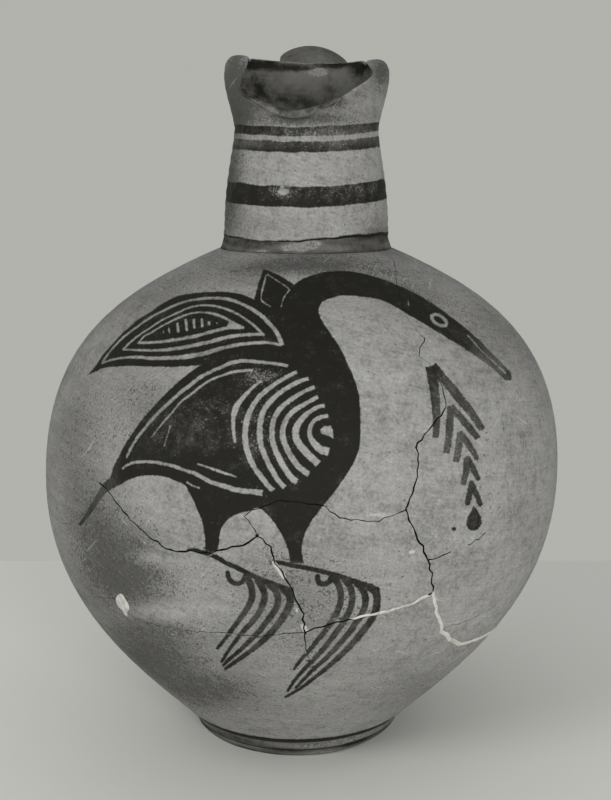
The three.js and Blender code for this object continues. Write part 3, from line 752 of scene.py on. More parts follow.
@dataclass(frozen=True)
class ClayFinish:
    """Matt fired clay with worn dark slip where the paint trace says so."""

    name: str
    pale: Colour = (0.425, 0.421, 0.403, 1.0)
    dull: Colour = (0.106, 0.105, 0.1, 1.0)
    # Colour of the darker patches: stains, and painted shade where the stain trace marks it
    stain_and_shade: Colour = (0.058, 0.057, 0.052, 1.0)
    speck: Colour = (0.045, 0.043, 0.038, 1.0)
    lime: Colour = (0.52, 0.51, 0.47, 1.0)
    slip: Colour = (0.0115, 0.011, 0.008, 1.0)
    worn_slip: Colour = (0.048, 0.0465, 0.04, 1.0)
    faded: Colour = (0.13, 0.128, 0.116, 1.0)
    # Near black of the cracks, joints and foot groove: grime with painted shade
    dark_grime_and_shade: Colour = (0.006, 0.006, 0.005, 1.0)
    cloud_scale: float = 36.0
    mottle_scale: float = 215.0
    grain_scale: float = 900.0
    pore_scale: float = 1500.0
    speck_scale: float = 760.0
    grit_scale: float = 640.0
    ring_stretch: Triple = (9.0, 9.0, 250.0)
    wipe_stretch: Triple = (60.0, 60.0, 1500.0)
    wipe_tilt: float = 14.0
    grit_stretch: Triple = (1.0, 1.0, 1.3)
    scratch_stretch: Triple = (1100.0, 40.0, 60.0)
    scratch_tilt: float = 38.0
    cross_stretch: Triple = (1100.0, 40.0, 50.0)
    cross_tilt: float = -55.0
    relief: float = 0.00022
    gloss: float = 0.12

    def material(self) -> Material:
        """Builds the material.

        Returns:
            The finished material.
        """
        material = bpy.data.materials.new(self.name)
        shader = Shader(material)
        place = shader.coordinates()
        clouds = shader.noise(place, self.cloud_scale, 4.0, 0.6)
        mottle = shader.noise(place, self.mottle_scale, 4.0, 0.65)
        grain = shader.noise(place, self.grain_scale, 4.0, 0.72)
        rings = shader.noise(shader.coordinates(self.ring_stretch), 1.0, 4.0, 0.62)
        wipes = shader.noise(shader.coordinates(self.wipe_stretch, self.wipe_tilt), 1.0, 3.0, 0.6)
        # The stain trace darkens the clay: stains, and painted shade on the shoulder, the lower belly, the
        # left side and under the front lip
        stained_and_shaded = shader.trace(Trace.STAIN)
        tone = 0.7 * clouds + 0.9 * mottle + 1.3 * grain + 0.3 * rings + 0.4 * wipes - 1.3 - 0.35 * stained_and_shaded
        clay = shader.mixed(tone, self.dull, self.pale)
        pores = shader.noise(place, self.pore_scale, 3.0, 0.6)
        soiled_and_shaded = 0.4 * clouds + 0.8 * mottle + 1.0 * grain + 1.0 * pores + 0.8 * stained_and_shaded
        clay = shader.mixed(shader.eased(soiled_and_shaded, 1.76, 2.14) * (0.5 + 0.7 * grain), clay, self.stain_and_shade)
        specks = shader.eased(shader.noise(place, self.speck_scale) + 0.3 * clouds, 0.85, 0.91)
        clay = shader.mixed(specks * 0.8, clay, self.speck)
        grit = shader.noise(shader.coordinates(self.grit_stretch), self.grit_scale, 1.0)
        clay = shader.mixed(shader.eased(grit, 0.77, 0.82) * 0.7, clay, self.lime)
        scratches = shader.noise(shader.coordinates(self.scratch_stretch, self.scratch_tilt), 1.0)
        crossed = shader.noise(shader.coordinates(self.cross_stretch, self.cross_tilt), 1.0)
        scratched = shader.eased(scratches + 0.3 * clouds, 0.85, 0.93)
        scratched = scratched + shader.eased(crossed + 0.3 * mottle, 0.85, 0.93)
        clay = shader.mixed(scratched * 0.4, clay, self.lime)

        ragged = 2.2 * grain + 1.4 * mottle - 1.8
        covered = shader.eased(shader.trace(Trace.PAINT) + ragged, 0.7, -0.7)
        wear = shader.trace(Trace.WEAR)
        speckled = shader.eased(pores + 0.35 * mottle + 0.26 * wear, 0.82, 0.94)
        rubbed = shader.eased(0.6 * mottle + 0.35 * clouds + 0.3 * grain + 0.3 * wear, 0.62, 1.0)
        slip = shader.mixed(rubbed, self.slip, self.worn_slip)
        thin = shader.eased(shader.trace(Trace.FADE) + 0.7 * mottle + 0.6 * grain - 0.65, 0.0, 1.0)
        slip = shader.mixed(thin, slip, self.faded)
        painted = covered * (1.0 - 0.6 * speckled)
        colour = shader.mixed(painted, clay, slip)
        chalked = shader.eased(shader.trace(Trace.CHALK) + ragged, 0.6, -0.6)
        colour = shader.mixed(chalked * 0.8, colour, self.lime)
        # Near black where the grime trace is high: grime in cracks and joints, with painted shade in them
        # and in the foot's groove
        dirty_and_shaded = shader.eased(shader.trace(Trace.DIRT) + 0.8 * grain - 0.4, 0.3, 0.7)
        colour = shader.mixed(dirty_and_shaded, colour, self.dark_grime_and_shade)

        roughness = 0.9 - 0.2 * painted + 0.15 * (grain - 0.5)
        height = 0.3 * rings + 0.3 * mottle + 0.5 * grain + 0.1 * painted - 0.4 * specks
        shader.surface(colour, roughness, height, self.relief, self.gloss)
        return material


@dataclass(frozen=True)
class PlasterFinish:
    """Dry white plaster, grubby in its hollows."""

    name: str
    white: Colour = (0.58, 0.57, 0.53, 1.0)
    grubby: Colour = (0.3, 0.29, 0.26, 1.0)
    # Near black of the sunk filling: grime with painted shade
    dark_grime_and_shade: Colour = (0.012, 0.012, 0.01, 1.0)
    lump_scale: float = 420.0
    powder_scale: float = 2200.0
    cloud_scale: float = 70.0
    relief: float = 0.00035
    gloss: float = 0.12

    def material(self) -> Material:
        """Builds the material.

        Returns:
            The finished material.
        """
        material = bpy.data.materials.new(self.name)
        shader = Shader(material)
        place = shader.coordinates()
        lumps = shader.noise(place, self.lump_scale, 4.0, 0.6)
        powder = shader.noise(place, self.powder_scale, 3.0, 0.6)
        clouds = shader.noise(place, self.cloud_scale, 3.0)
        grime = shader.eased(0.7 * lumps + 0.5 * clouds + 0.2 * powder, 0.62, 0.95)
        colour = shader.mixed(grime, self.white, self.grubby)
        # The sunk end of the centre filling goes near black: grime, with painted shade so that it reads as
        # an open crack
        dirty_and_shaded = shader.eased(shader.trace(Trace.DIRT) + 0.8 * lumps - 0.4, 0.3, 0.7)
        colour = shader.mixed(dirty_and_shaded, colour, self.dark_grime_and_shade)
        roughness = 0.9 + 0.1 * (powder - 0.5)
        shader.surface(colour, roughness, 0.7 * lumps + 0.3 * powder, self.relief, self.gloss)
        return material


# Modelling by operators


class Bench:
    """Operators on one piece at a time. Points go in and out in millimetres."""

    @staticmethod
    def hold(piece: Piece) -> None:
        """Makes a piece the only selected and active one, in object mode.

        Args:
            piece: The piece.
        """
        if bpy.context.mode != "OBJECT":
            bpy.ops.object.mode_set(mode="OBJECT")
        bpy.ops.object.select_all(action="DESELECT")
        piece.select_set(True)
        bpy.context.view_layer.objects.active = piece

    @staticmethod
    def added(name: str) -> Piece:
        """Names the primitive that was added last.

        Args:
            name: Its name.

        Returns:
            The primitive.
        """
        piece = bpy.context.object
        piece.name = name
        piece.data.name = name
        return piece

    @staticmethod
    def points(piece: Piece) -> Array:
        """Reads a piece's points.

        Args:
            piece: The piece.

        Returns:
            Their places.
        """
        flat = np.empty(len(piece.data.vertices) * 3, np.float32)
        piece.data.vertices.foreach_get("co", flat)
        return flat.reshape(-1, 3).astype(float) / MM

    @staticmethod
    def move(piece: Piece, points: Array) -> None:
        """Moves a piece's points to new places."""
        piece.data.vertices.foreach_set("co", (points * MM).astype(np.float32).ravel())
        piece.data.update()

    @classmethod
    def edit(cls, piece: Piece, kind: str = "VERT") -> None:
        """Opens a piece in edit mode.

        Args:
            piece: The piece.
            kind: What is selected there: VERT, EDGE or FACE.
        """
        cls.hold(piece)
        modes = ("VERT", "EDGE", "FACE")
        bpy.context.tool_settings.mesh_select_mode = tuple(kind == mode for mode in modes)
        bpy.ops.object.mode_set(mode="EDIT")

    @staticmethod
    def close() -> None:
        """Leaves edit mode."""
        bpy.ops.object.mode_set(mode="OBJECT")

    @classmethod
    def choose(cls, piece: Piece, kind: str, chosen: Array) -> None:
        """Opens a piece in edit mode with some of its edges or faces selected.

        Args:
            piece: The piece.
            kind: EDGE or FACE.
            chosen: One truth for each edge or face.
        """
        cls.edit(piece, kind)
        bpy.ops.mesh.select_all(action="DESELECT")
        cls.close()
        parts = piece.data.edges if kind == "EDGE" else piece.data.polygons
        parts.foreach_set("select", chosen)
        bpy.ops.object.mode_set(mode="EDIT")

    @classmethod
    def turned(cls, name: str, outline: Array, steps: int, closed: bool) -> Piece:
        """Spins an outline round the Z axis.

        Args:
            name: The piece's name.
            outline: Radius and height of each point.
            steps: Steps round the axis.
            closed: Whether the outline closes on itself, and otherwise both its ends lie on the axis.

        Returns:
            The closed piece.
        """
        bpy.ops.object.select_all(action="DESELECT")
        bpy.ops.mesh.primitive_circle_add(vertices=len(outline), radius=outline.max() * MM)
        piece = cls.added(name)
        cls.move(piece, np.column_stack([outline[:, 0], np.zeros(len(outline)), outline[:, 1]]))
        if not closed:
            ends = np.empty(len(piece.data.edges) * 2, int)
            piece.data.edges.foreach_get("vertices", ends)
            closing = np.all(np.sort(ends.reshape(-1, 2), axis=1) == (0, len(outline) - 1), axis=1)
            cls.choose(piece, "EDGE", closing)
            bpy.ops.mesh.delete(type="EDGE")
            cls.close()
        cls.edit(piece)
        bpy.ops.mesh.select_all(action="SELECT")
        bpy.ops.mesh.spin(
            steps=steps, angle=2 * math.pi, center=(0, 0, 0), axis=(0, 0, 1), use_auto_merge=True,
        )
        bpy.ops.mesh.select_all(action="SELECT")
        bpy.ops.mesh.remove_doubles(threshold=MERGE_DISTANCE)
        bpy.ops.mesh.normals_make_consistent(inside=False)
        cls.close()
        return piece

    @classmethod
    def tube(cls, name: str, rings: Array) -> Piece:
        """Draws a tube through rings of points, closed at both ends.

        Args:
            name: The piece's name.
            rings: Points by ring, side and axis.

        Returns:
            The closed piece.
        """
        count, sides = rings.shape[:2]
        bpy.ops.object.select_all(action="DESELECT")
        bpy.ops.mesh.primitive_cylinder_add(vertices=sides, radius=1.0, depth=float(count - 1))
        piece = cls.added(name)
        spots = cls.points(piece) * MM
        ends = np.empty(len(piece.data.edges) * 2, int)
        piece.data.edges.foreach_get("vertices", ends)
        upright = np.abs(np.diff(spots[ends.reshape(-1, 2), 2], axis=1)[:, 0]) > 0.5
        cls.choose(piece, "EDGE", upright)
        if count > 2:
            bpy.ops.mesh.subdivide(number_cuts=count - 2)
        cls.close()
        spots = cls.points(piece) * MM
        turn = np.arctan2(spots[:, 0], spots[:, 1]) / (2 * math.pi) * sides
        side = np.round(turn).astype(int) % sides
        ring = np.round(spots[:, 2] + (count - 1) / 2).astype(int)
        cls.move(piece, rings[ring, side])
        cls.edit(piece)
        bpy.ops.mesh.select_all(action="SELECT")
        bpy.ops.mesh.normals_make_consistent(inside=False)
        cls.close()
        return piece

    @classmethod
    def cut(cls, piece: Piece, blade: Piece) -> None:
        """Cuts a blade out of a piece and removes the blade.

        Args:
            piece: The piece.
            blade: The blade.
        """
        cutting = piece.modifiers.new("cutting", "BOOLEAN")
        cutting.operation = "DIFFERENCE"
        cutting.solver = "MANIFOLD"
        cutting.object = blade
        cls.hold(piece)
        bpy.ops.object.modifier_apply(modifier=cutting.name)
        bpy.data.objects.remove(blade, do_unlink=True)

    @classmethod
    def parted(cls, piece: Piece) -> list[Piece]:
        """Splits a piece into its loose parts.

        Args:
            piece: The piece.

        Returns:
            The parts, the piece among them.
        """
        before = set(bpy.data.objects)
        cls.edit(piece)
        bpy.ops.mesh.select_all(action="SELECT")
        bpy.ops.mesh.separate(type="LOOSE")
        cls.close()
        return [piece] + [other for other in bpy.data.objects if other not in before]

    @classmethod
    def subdivided(cls, piece: Piece, near: Array, cuts: int) -> None:
        """Subdivides the faces that have a chosen point.

        Args:
            piece: The piece.
            near: One truth for each point.
            cuts: Cuts across each face.
        """
        loops = np.empty(len(piece.data.loops), int)
        piece.data.loops.foreach_get("vertex_index", loops)
        starts = np.empty(len(piece.data.polygons), int)
        piece.data.polygons.foreach_get("loop_start", starts)
        chosen = np.logical_or.reduceat(near[loops], starts)
        if not chosen.any():
            return
        cls.choose(piece, "FACE", chosen)
        bpy.ops.mesh.subdivide(number_cuts=cuts)
        cls.close()

    @classmethod
    def smoothed(cls, piece: Piece, angle: float) -> None:
        """Shades a piece smoothly, with edges that turn by more than an angle in degrees kept sharp."""
        cls.hold(piece)
        bpy.ops.object.shade_smooth_by_angle(angle=math.radians(angle))


def write_trace(piece: Piece, trace: Trace, values: Values, domain: str = "POINT") -> None:
    """Stores a value for each point or face of a piece.

    Args:
        piece: The piece.
        trace: The trace that the values belong to.
        values: One value for each point or face, or one for all.
        domain: POINT or FACE.
    """
    layer = piece.data.attributes.new(trace.value, "FLOAT", domain)
    plain = np.broadcast_to(np.asarray(values, np.float32), len(layer.data))
    layer.data.foreach_set("value", plain.copy())


def finish_piece(piece: Piece, node: str, material: Material) -> None:
    """Gives a piece its material and puts it in its node's place.

    Args:
        piece: The piece.
        node: The node that it stands for.
        material: Its material.
    """
    piece.data.materials.clear()
    piece.data.materials.append(material)
    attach(piece, ROOT)
    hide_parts(node)
    LOG.info("%s: %d faces", piece.name, len(piece.data.polygons))


# The jug's sub-assemblies


@dataclass(frozen=True)
class Lean:
    """A sideways lean about a height that stays where it is."""

    angle: float
    still: float
    sideways: float = 0.0

    def applied(self, points: Array) -> Array:
        """Leans points.

        Args:
            points: Places on the upright jug.

        Returns:
            Their places on the leaning one.
        """
        leaned = points.copy()
        leaned[:, 0] += math.tan(math.radians(self.angle)) * (points[:, 2] - self.still) + self.sideways
        return leaned


# The body leans about its belly, and the neck about the seat that the body has carried sideways
BODY_LEAN = Lean(1.15, 107.0)
NECK_LEAN = Lean(0.3, 195.0, math.tan(math.radians(1.15)) * 88.0)
JOINT_MARKS: Marks = (
    (-180, 0.0), (-90, 0.5), (-55, 0.5), (-25, -0.25), (-5, -0.15), (10, 0.6), (30, 1.2), (60, 1.1),
    (100, 0.4), (180, 0.0),
)
# Places behind the axis between which the neck's seen front passes into its plain back
NECK_SIDES: Mark = (-2.0, 24.0)
# Azimuths and strengths of the darkening along the joint between collar and neck: grime with painted shade
JOINT_DIRT_AND_SHADE_MARKS: Marks = ((-60, 0.2), (-25, 0.4), (-12, 1.0), (35, 1.0), (50, 0.4), (90, 0.2))


def joint_wave(points: Array) -> Array:
    """Finds how far the joint between collar and neck lies over its even height.

    Args:
        points: Places round the joint.

    Returns:
        One rise for each place.
    """
    turn = azimuths(points)
    steps = 0.12 * np.sin(np.radians(turn * 13)) + 0.1 * np.sin(np.radians(turn * 29 + 40))
    return np.interp(turn, *np.transpose(JOINT_MARKS)) + steps


def joint_dirt_and_shade(points: Array) -> Array:
    """How dark the joint between collar and neck is made: grime, with painted shade in its crack."""
    return np.interp(azimuths(points), *np.transpose(JOINT_DIRT_AND_SHADE_MARKS))


@dataclass(frozen=True)
class Break:
    """A break line: azimuth and height marks, its width at both ends, its depth and its runs past the ends.

    Where widths gives shares of the length and widths there, they hold instead of the ends' widths. Filling
    has sunk in where the azimuth is less than sunk_before, and is marked near black there: grime with
    painted shade, so that it reads as an open crack.
    """

    marks: Marks
    start: float
    end: float
    depth: float = 11.0
    before: float = 0.8
    after: float = 0.8
    jitter: float = 0.3
    sunk_before: float = -360.0
    widths: Marks = ()

    def width_along(self, count: int) -> Array:
        """Width at even steps along the line."""
        shares, widths = np.transpose(self.widths or ((0, self.start), (1, self.end)))
        return np.interp(np.linspace(0, 1, count), shares, widths)


RIGHT_BREAK = Break((
    (58, 194.6), (57, 193.6), (54, 192.3), (43.6, 188.9), (37.8, 186), (33.1, 181.5), (30.3, 176.9),
    (29.9, 174.9), (30.4, 171.8), (31.7, 168.7), (29, 165.9), (27.6, 163.9), (29.4, 162), (30.9, 156.7),
    (30.5, 147.2), (27.1, 142.8), (22.4, 136.8), (22.6, 130.5), (22.2, 126.9), (20.9, 120.6),
    (19.7, 115.9), (21.5, 109.2), (24.6, 98.7), (26.1, 92.3), (27, 85.1),
), 0.16, 0.7, before=12.0, widths=(
    (0, 0.1), (0.12, 0.22), (0.2, 0.12), (0.35, 0.1), (0.365, 0.42), (0.41, 0.42), (0.425, 0.11),
    (0.46, 0.16), (0.52, 0.4), (0.6, 0.5), (0.8, 0.6), (1, 0.7),
))
CENTRE_TOP_BREAK = Break((
    (19.7, 115.9), (17.9, 114.6), (14.4, 113.3), (8.7, 114), (6.5, 115.8), (4.1, 118.8), (-4, 121),
    (-10.6, 115.9), (-9.2, 112.3), (-8, 108.8),
), 0.3, 0.3)
CENTRE_LEFT_BREAK = Break((
    (-8, 108.8), (-5.3, 105.2), (-4.7, 100.5), (-2.9, 95.3), (-1.5, 90.6), (0.8, 80.6), (1.3, 73.5),
), 0.5, 0.55)
LEFT_BREAK = Break((
    (-8, 108.8), (-10.9, 105.4), (-14.8, 103), (-17.6, 101.5), (-20.6, 101.5), (-24.9, 100.9),
    (-29.3, 103.7), (-33.5, 108.1), (-37.4, 112.7), (-40.2, 116.9), (-43.5, 119.3),
), 0.6, 0.45, after=0.3)
LEFT_HIDDEN_BREAK = Break((
    (-43.5, 119.3), (-48, 106.4), (-56, 98.9), (-75, 96.2), (-95, 90.6), (-118, 83.1), (-135, 66.3),
), 0.1, 0.12)
LOWER_BREAK = Break((
    (1.3, 73.5), (-4.1, 72.5), (-9.8, 71.6), (-16.2, 71.7), (-22, 70.7), (-29.8, 70.3), (-34.8, 70),
    (-39.8, 72), (-42.9, 76.4),
), 0.3, 0.16, after=0.3)
LOWER_HIDDEN_BREAK = Break((
    (-42.9, 76.4), (-58, 70), (-80, 72.8), (-105, 67.2), (-135, 66.3), (-165, 60.7), (-195, 63.5),
    (-220, 56.1), (-245, 57.9), (-270, 52.3), (-292.9, 50.8),
), 0.12, 0.12)
BACK_BREAK = Break((
    (124, 194.6), (128, 180.1), (121, 157.7), (131, 135.3), (122, 105.5), (125, 83.1), (115, 57.9),
), 0.12, 0.12, before=12.0)
DEAD_ENDS = (
    Break(((1.3, 73.5), (1.5, 67.1), (2.4, 61.5), (3.1, 54.6)), 0.4, 0.12, 1.2, 0.0, 0.0),
    Break(((25, 97.7), (27, 98.2), (30, 99.2)), 0.5, 0.3, 1.0, 0.0, 0.0),
    Break(((34, 100.3), (36.2, 101.4), (38.6, 103.2)), 0.3, 0.3, 1.0, 0.0, 0.0),
    Break(((32.5, 67.1), (34.3, 68.3), (42, 68.6), (48.7, 70.7)), 0.2, 0.1, 1.0, 0.0, 0.0),
)
RIGHT_SEAM = Break((
    (27, 85.1), (29.5, 75.1), (32.5, 67.1), (38.2, 59.8), (42.5, 56.3), (56.5, 53.2), (67.1, 50.8),
), 0.8, 1.8, before=0.4, after=0.4, jitter=0.22)
CENTRE_SEAM = Break((
    (27, 85.1), (23.7, 82.4), (17.3, 79.9), (11, 78.6), (6.6, 77), (2.5, 74.7), (1.3, 73.5),
), 0.75, 0.6, before=0.4, after=0.4, jitter=0.22, sunk_before=9.4)
BREAKS = (
    RIGHT_BREAK, CENTRE_TOP_BREAK, CENTRE_LEFT_BREAK, LEFT_BREAK, LEFT_HIDDEN_BREAK, LOWER_BREAK,
    LOWER_HIDDEN_BREAK, BACK_BREAK, *DEAD_ENDS,
)
FIRST_BREAK_SEED = 11
RIGHT_SEAM_SEED = 41
CENTRE_SEAM_SEED = 42
FLAKE_EDGE: Marks = (
    (-39.7, 79.9), (-39, 79.6), (-38.6, 78.1), (-38.2, 76.7), (-38, 75.3), (-38.3, 73.9), (-39.3, 72),
    (-40, 69.8), (-40.6, 70.5), (-40.8, 72.3), (-41.7, 73.1), (-42.1, 74.3), (-42.1, 75.9), (-41.4, 77.8),
    (-40.6, 79.1),
)
SHERD_MARKS: dict[str, Mark] = {
    "base_sherd": (0, 23.4),
    "left_sherd": (-25, 86.8),
    "centre_sherd": (10, 96.2),
    "shoulder_sherd": (-40, 157.7),
    "right_sherd": (60, 120.4),
}
WORN_SPOTS = (
    Spot(264, 376, 19, 8, 1.0), Spot(205, 415, 34, 34, 0.4), Spot(160, 435, 20, 22, 0.35),
    Spot(270, 430, 30, 45, 0.4), Spot(250, 440, 20, 20, 0.3), Spot(200, 330, 90, 40, 0.25),
    Spot(265, 615, 50, 50, 0.4), Spot(340, 630, 50, 50, 0.4), Spot(460, 440, 40, 80, 0.5),
    Spot(500, 370, 20, 15, 0.4), Spot(285, 520, 30, 20, 0.2),
)
# Stains on the body's front, mixed with painted shade: the top of the shoulder under the collar and the
# lower belly are darkened where shade falls, and the left side carries both stains and painted shade
STAIN_AND_SHADE_SPOTS = (
    Spot(122, 570, 48, 48, 0.7), Spot(150, 655, 60, 45, 0.62), Spot(95, 515, 30, 35, 0.3),
    Spot(215, 693, 55, 22, 0.45), Spot(75, 440, 28, 90, 0.35), Spot(150, 290, 60, 22, 0.35),
    Spot(230, 268, 40, 14, 0.45), Spot(430, 285, 65, 26, 0.55), Spot(505, 325, 40, 40, 0.25),
    Spot(430, 690, 60, 30, 0.3), Spot(305, 262, 115, 11, 1.1), Spot(310, 715, 100, 20, 0.12),
    Spot(145, 405, 42, 50, 0.35), Spot(378, 515.5, 17, 3.2, -0.8), Spot(165, 612, 40, 9, -0.5),
    Spot(152, 558, 26, 7, -0.35), Spot(300, 620, 80, 56, 0.34), Spot(280, 565, 78, 32, 0.2),
)
FADED_SPOTS = (
    Spot(492, 364, 34, 24, 0.48), Spot(455, 440, 45, 85, 0.45), Spot(255, 615, 45, 55, 0.3),
    Spot(340, 635, 50, 65, 0.34), Spot(200, 425, 40, 30, 0.15), Spot(150, 440, 25, 25, 0.15),
    Spot(100, 500, 25, 30, 0.47), Spot(264, 376, 19, 8, 0.3),
)


@dataclass
class Body:
    """The thrown body, broken into sherds and mended with plaster."""

    view: PhotoView
    figure: Figure
    belly_radius: float = 102.0
    belly_height: float = 107.0
    base_radius: float = 46.0
    base_height: float = 8.5
    seat_radius: float = 34.0
    seat_height: float = 195.0
    bore: float = 28.0
    wall: float = 5.0
    floor: float = 7.0
    belly_pull_down: float = 44.0
    belly_pull_up: float = 52.0
    base_pull: float = 41.0
    base_slope: float = 45.0
    shoulder_pull: float = 44.0
    shoulder_slope: float = 23.0
    under_radii: tuple[float, ...] = (0.0, 12.0, 28.0, 38.0)
    floor_radius: float = 24.0
    curve_points: int = 60
    row: float = 1.9
    steps: int = 288
    ridge: float = 0.09
    ridge_pitch: float = 5.3
    dent: float = 0.3
    plain_foot: Mark = (9.0, 14.0)
    plain_seat: Mark = (186.0, 193.0)
    crack_step: float = 1.9
    crack_turn: float = 2.5
    crack_swing: float = 1.4
    blade_proud: float = 3.0
    chip: float = 0.9
    hair: float = 0.09
    smear: Mark = (-0.02, 0.4)
    crown: Mark = (-0.12, 0.16)
    sunk_depth: float = 0.9
    flake_step: float = 0.7
    flake_cut: Marks = ((0.9, -2.3), (1.02, 3.0))
    flake_levels: Marks = ((0.86, -2.1), (0.97, -0.25), (0.95, 0.0), (0.7, 0.12), (0.3, 0.16))
    painted_front: float = -20.0
    full_front: float = -60.0
    outer_reach: float = 0.8
    exact_reach: float = 0.03
    near_edge: float = 5.0
    closest_edge: float = 2.4
    foot_paint: float = 11.2
    foot_paint_end: float = 20.0
    foot_paint_radius: float = 40.0
    outer: Array = field(init=False)

    def __post_init__(self) -> None:
        """Draws the outside's outline."""
        self.outer = self.outline()

    def outline(self) -> Array:
        """Draws the outside, from the foot up to the neck's seat.

        Returns:
            Radius and height of each row.
        """
        share = np.linspace(0, 1, self.curve_points)[:, None]
        base = np.array([self.base_radius, self.base_height])
        belly = np.array([self.belly_radius, self.belly_height])
        seat = np.array([self.seat_radius, self.seat_height])
        rise = math.radians(self.base_slope)
        fall = math.radians(self.shoulder_slope)
        base_handle = base + self.base_pull * np.array([math.cos(rise), math.sin(rise)])
        seat_handle = seat + self.shoulder_pull * np.array([math.cos(fall), -math.sin(fall)])
        lower = bezier([base, base_handle, belly - (0, self.belly_pull_down), belly], share)
        upper = bezier([belly, belly + (0, self.belly_pull_up), seat_handle, seat], share)
        return evenly(np.vstack([lower, upper[1:]]), self.row)

    def shell(self) -> Piece:
        """Makes the whole thrown body before it broke.

        Returns:
            The body, upright.
        """
        inner = beside(self.outer[::3], self.wall)
        floor = self.base_height + self.floor
        kept = (inner[:, 0] > self.bore) & (inner[:, 1] > floor)
        outline = np.vstack([
            [(radius, self.base_height) for radius in self.under_radii],
            self.outer,
            [(self.bore, self.seat_height), (self.bore, self.seat_height - self.wall)],
            inner[kept][::-1],
            [(self.floor_radius, floor), (0, floor)],
        ])
        return Bench.turned("body_shell", outline, self.steps, False)

    def radius_at(self, height: Values) -> Values:
        """Radius of the outside at each height."""
        return np.interp(height, self.outer[:, 1], self.outer[:, 0])

    def normal_at(self, height: Array) -> Array:
        """Finds the wall's outward direction.

        Args:
            height: Heights on the upright body.

        Returns:
            Its parts along the radius and up.
        """
        along = unit(np.gradient(self.outer, axis=0))
        out = np.interp(height, self.outer[:, 1], along[:, 1])
        up = -np.interp(height, self.outer[:, 1], along[:, 0])
        return np.column_stack([out, up])

    def on_wall(self, marks: Array) -> Pair:
        """Finds marks on the upright body's outside.

        Args:
            marks: Azimuth and height of each mark.

        Returns:
            Their places, and the wall's outward direction at each.
        """
        turn = np.radians(marks[:, 0])
        slant = self.normal_at(marks[:, 1])
        places = around(self.radius_at(marks[:, 1]), turn, marks[:, 1])
        return places, around(slant[:, 0], turn, slant[:, 1])

    def crack_line(self, line: Break, seed: int) -> tuple[Array, Array, Array]:
        """Draws a break line on the wall, with the small steps that fired clay breaks in.

        Args:
            line: The break.
            seed: Picks the small steps.

        Returns:
            The line's places, the outward directions and the sideways directions there.
        """
        chance = np.random.default_rng(seed)
        rough = []
        for start, end in zip(line.marks[:-1], line.marks[1:]):
            parts = max(1, math.ceil(abs(end[0] - start[0]) / self.crack_turn))
            rough += [blended(np.array(start), np.array(end), k / parts) for k in range(parts)]
        rough.append(np.array(line.marks[-1]))
        places, _ = self.on_wall(np.array(rough))
        places = evenly(places, self.crack_step)
        marks = np.column_stack([np.degrees(np.unwrap(np.radians(azimuths(places)))), places[:, 2]])
        places, normals = self.on_wall(marks)
        side = unit(np.cross(unit(np.gradient(places, axis=0)), normals))
        swing = chance.normal(size=len(places))
        swing[[0, -1]] = 0
        swing = np.clip(swing, -self.crack_swing, self.crack_swing)
        places = places + side * (swing * line.jitter)[:, None]
        for run, end, step in ((line.before, 0, 1), (line.after, -1, -1)):
            if run:
                onward = places[end] - places[end + step]
                onward = places[end] + onward / np.linalg.norm(onward) * run
                spot = 0 if end == 0 else len(places)
                places = np.insert(places, spot, onward, axis=0)
                normals = np.insert(normals, spot, normals[end], axis=0)
                side = np.insert(side, spot, side[end], axis=0)
        return places, normals, side

    def blade(self, line: Break, seed: int) -> Piece:
        """Makes the sliver of clay that a break has lost: wide and chipped outside, thin inside the wall.

        Args:
            line: The break.
            seed: Picks its steps and widths.

        Returns:
            The blade to cut with.
        """
        places, normals, side = self.crack_line(line, seed)
        chance = np.random.default_rng(seed + 100)
        width = line.width_along(len(places)) * chance.uniform(0.65, 1.35, len(places))
        left = width * chance.uniform(0.35, 0.65, len(places))
        right = width - left
        thin = np.minimum(self.hair, width / 3)
        corners = [
            (right, self.blade_proud), (right, 0.0), (thin, -self.chip), (thin, -line.depth),
            (-thin, -line.depth), (-thin, -self.chip), (-left, 0.0), (-left, self.blade_proud),
        ]
        rings = [places + side * np.asarray(across)[:, None] + normals * out for across, out in corners]
        return Bench.tube("blade", np.stack(rings, axis=1))

    def seam_blade(self, line: Break, seed: int) -> Piece:
        """Makes the gap that is filled with plaster, as wide inside the wall as outside.

        Args:
            line: The seam.
            seed: Picks its steps.

        Returns:
            The blade to cut with.
        """
        places, normals, side = self.crack_line(line, seed)
        half = np.linspace(line.start, line.end, len(places))[:, None] / 2
        corners = [(1, self.blade_proud), (1, -line.depth), (-1, -line.depth), (-1, self.blade_proud)]
        rings = [places + side * half * across + normals * out for across, out in corners]
        return Bench.tube("seam_blade", np.stack(rings, axis=1))

    def seam_filling(self, name: str, line: Break, seed: int, short: float) -> Piece:
        """Plaster pressed into a seam and wiped off, a little proud and smeared past the edges.

        Args:
            name: The piece's name.
            line: The seam.
            seed: The seam's own seed.
            short: How far its first end stays back.

        Returns:
            The plaster.
        """
        places, normals, side = self.crack_line(replace(line, before=0, after=0), seed)
        far = np.linalg.norm(places - places[0], axis=1) >= short
        places, normals, side = places[far], normals[far], side[far]
        chance = np.random.default_rng(seed + 200)
        half = np.linspace(line.start, line.end, len(places)) / 2 - 0.03
        sunk = 1 - eased(azimuths(places), line.sunk_before, line.sunk_before + 2)
        smear = half + chance.uniform(*self.smear, len(places)) * (1 - sunk)
        other_smear = half + chance.uniform(*self.smear, len(places)) * (1 - sunk)
        crown = chance.uniform(*self.crown, len(places)) - self.sunk_depth * sunk
        edge = -0.16 - self.sunk_depth * sunk
        deep = -(self.wall - 0.4)
        corners = [
            (half, deep), (half, edge - 0.14), (smear, edge), (0.6 * half, crown), (0 * half, crown + 0.05),
            (-0.6 * half, crown), (-other_smear, edge), (-half, edge - 0.14), (-half, deep),
        ]
        rings = [
            places + side * across[:, None] + normals * np.asarray(out)[..., None]
            for across, out in corners
        ]
        return Bench.tube(name, np.stack(rings, axis=1))

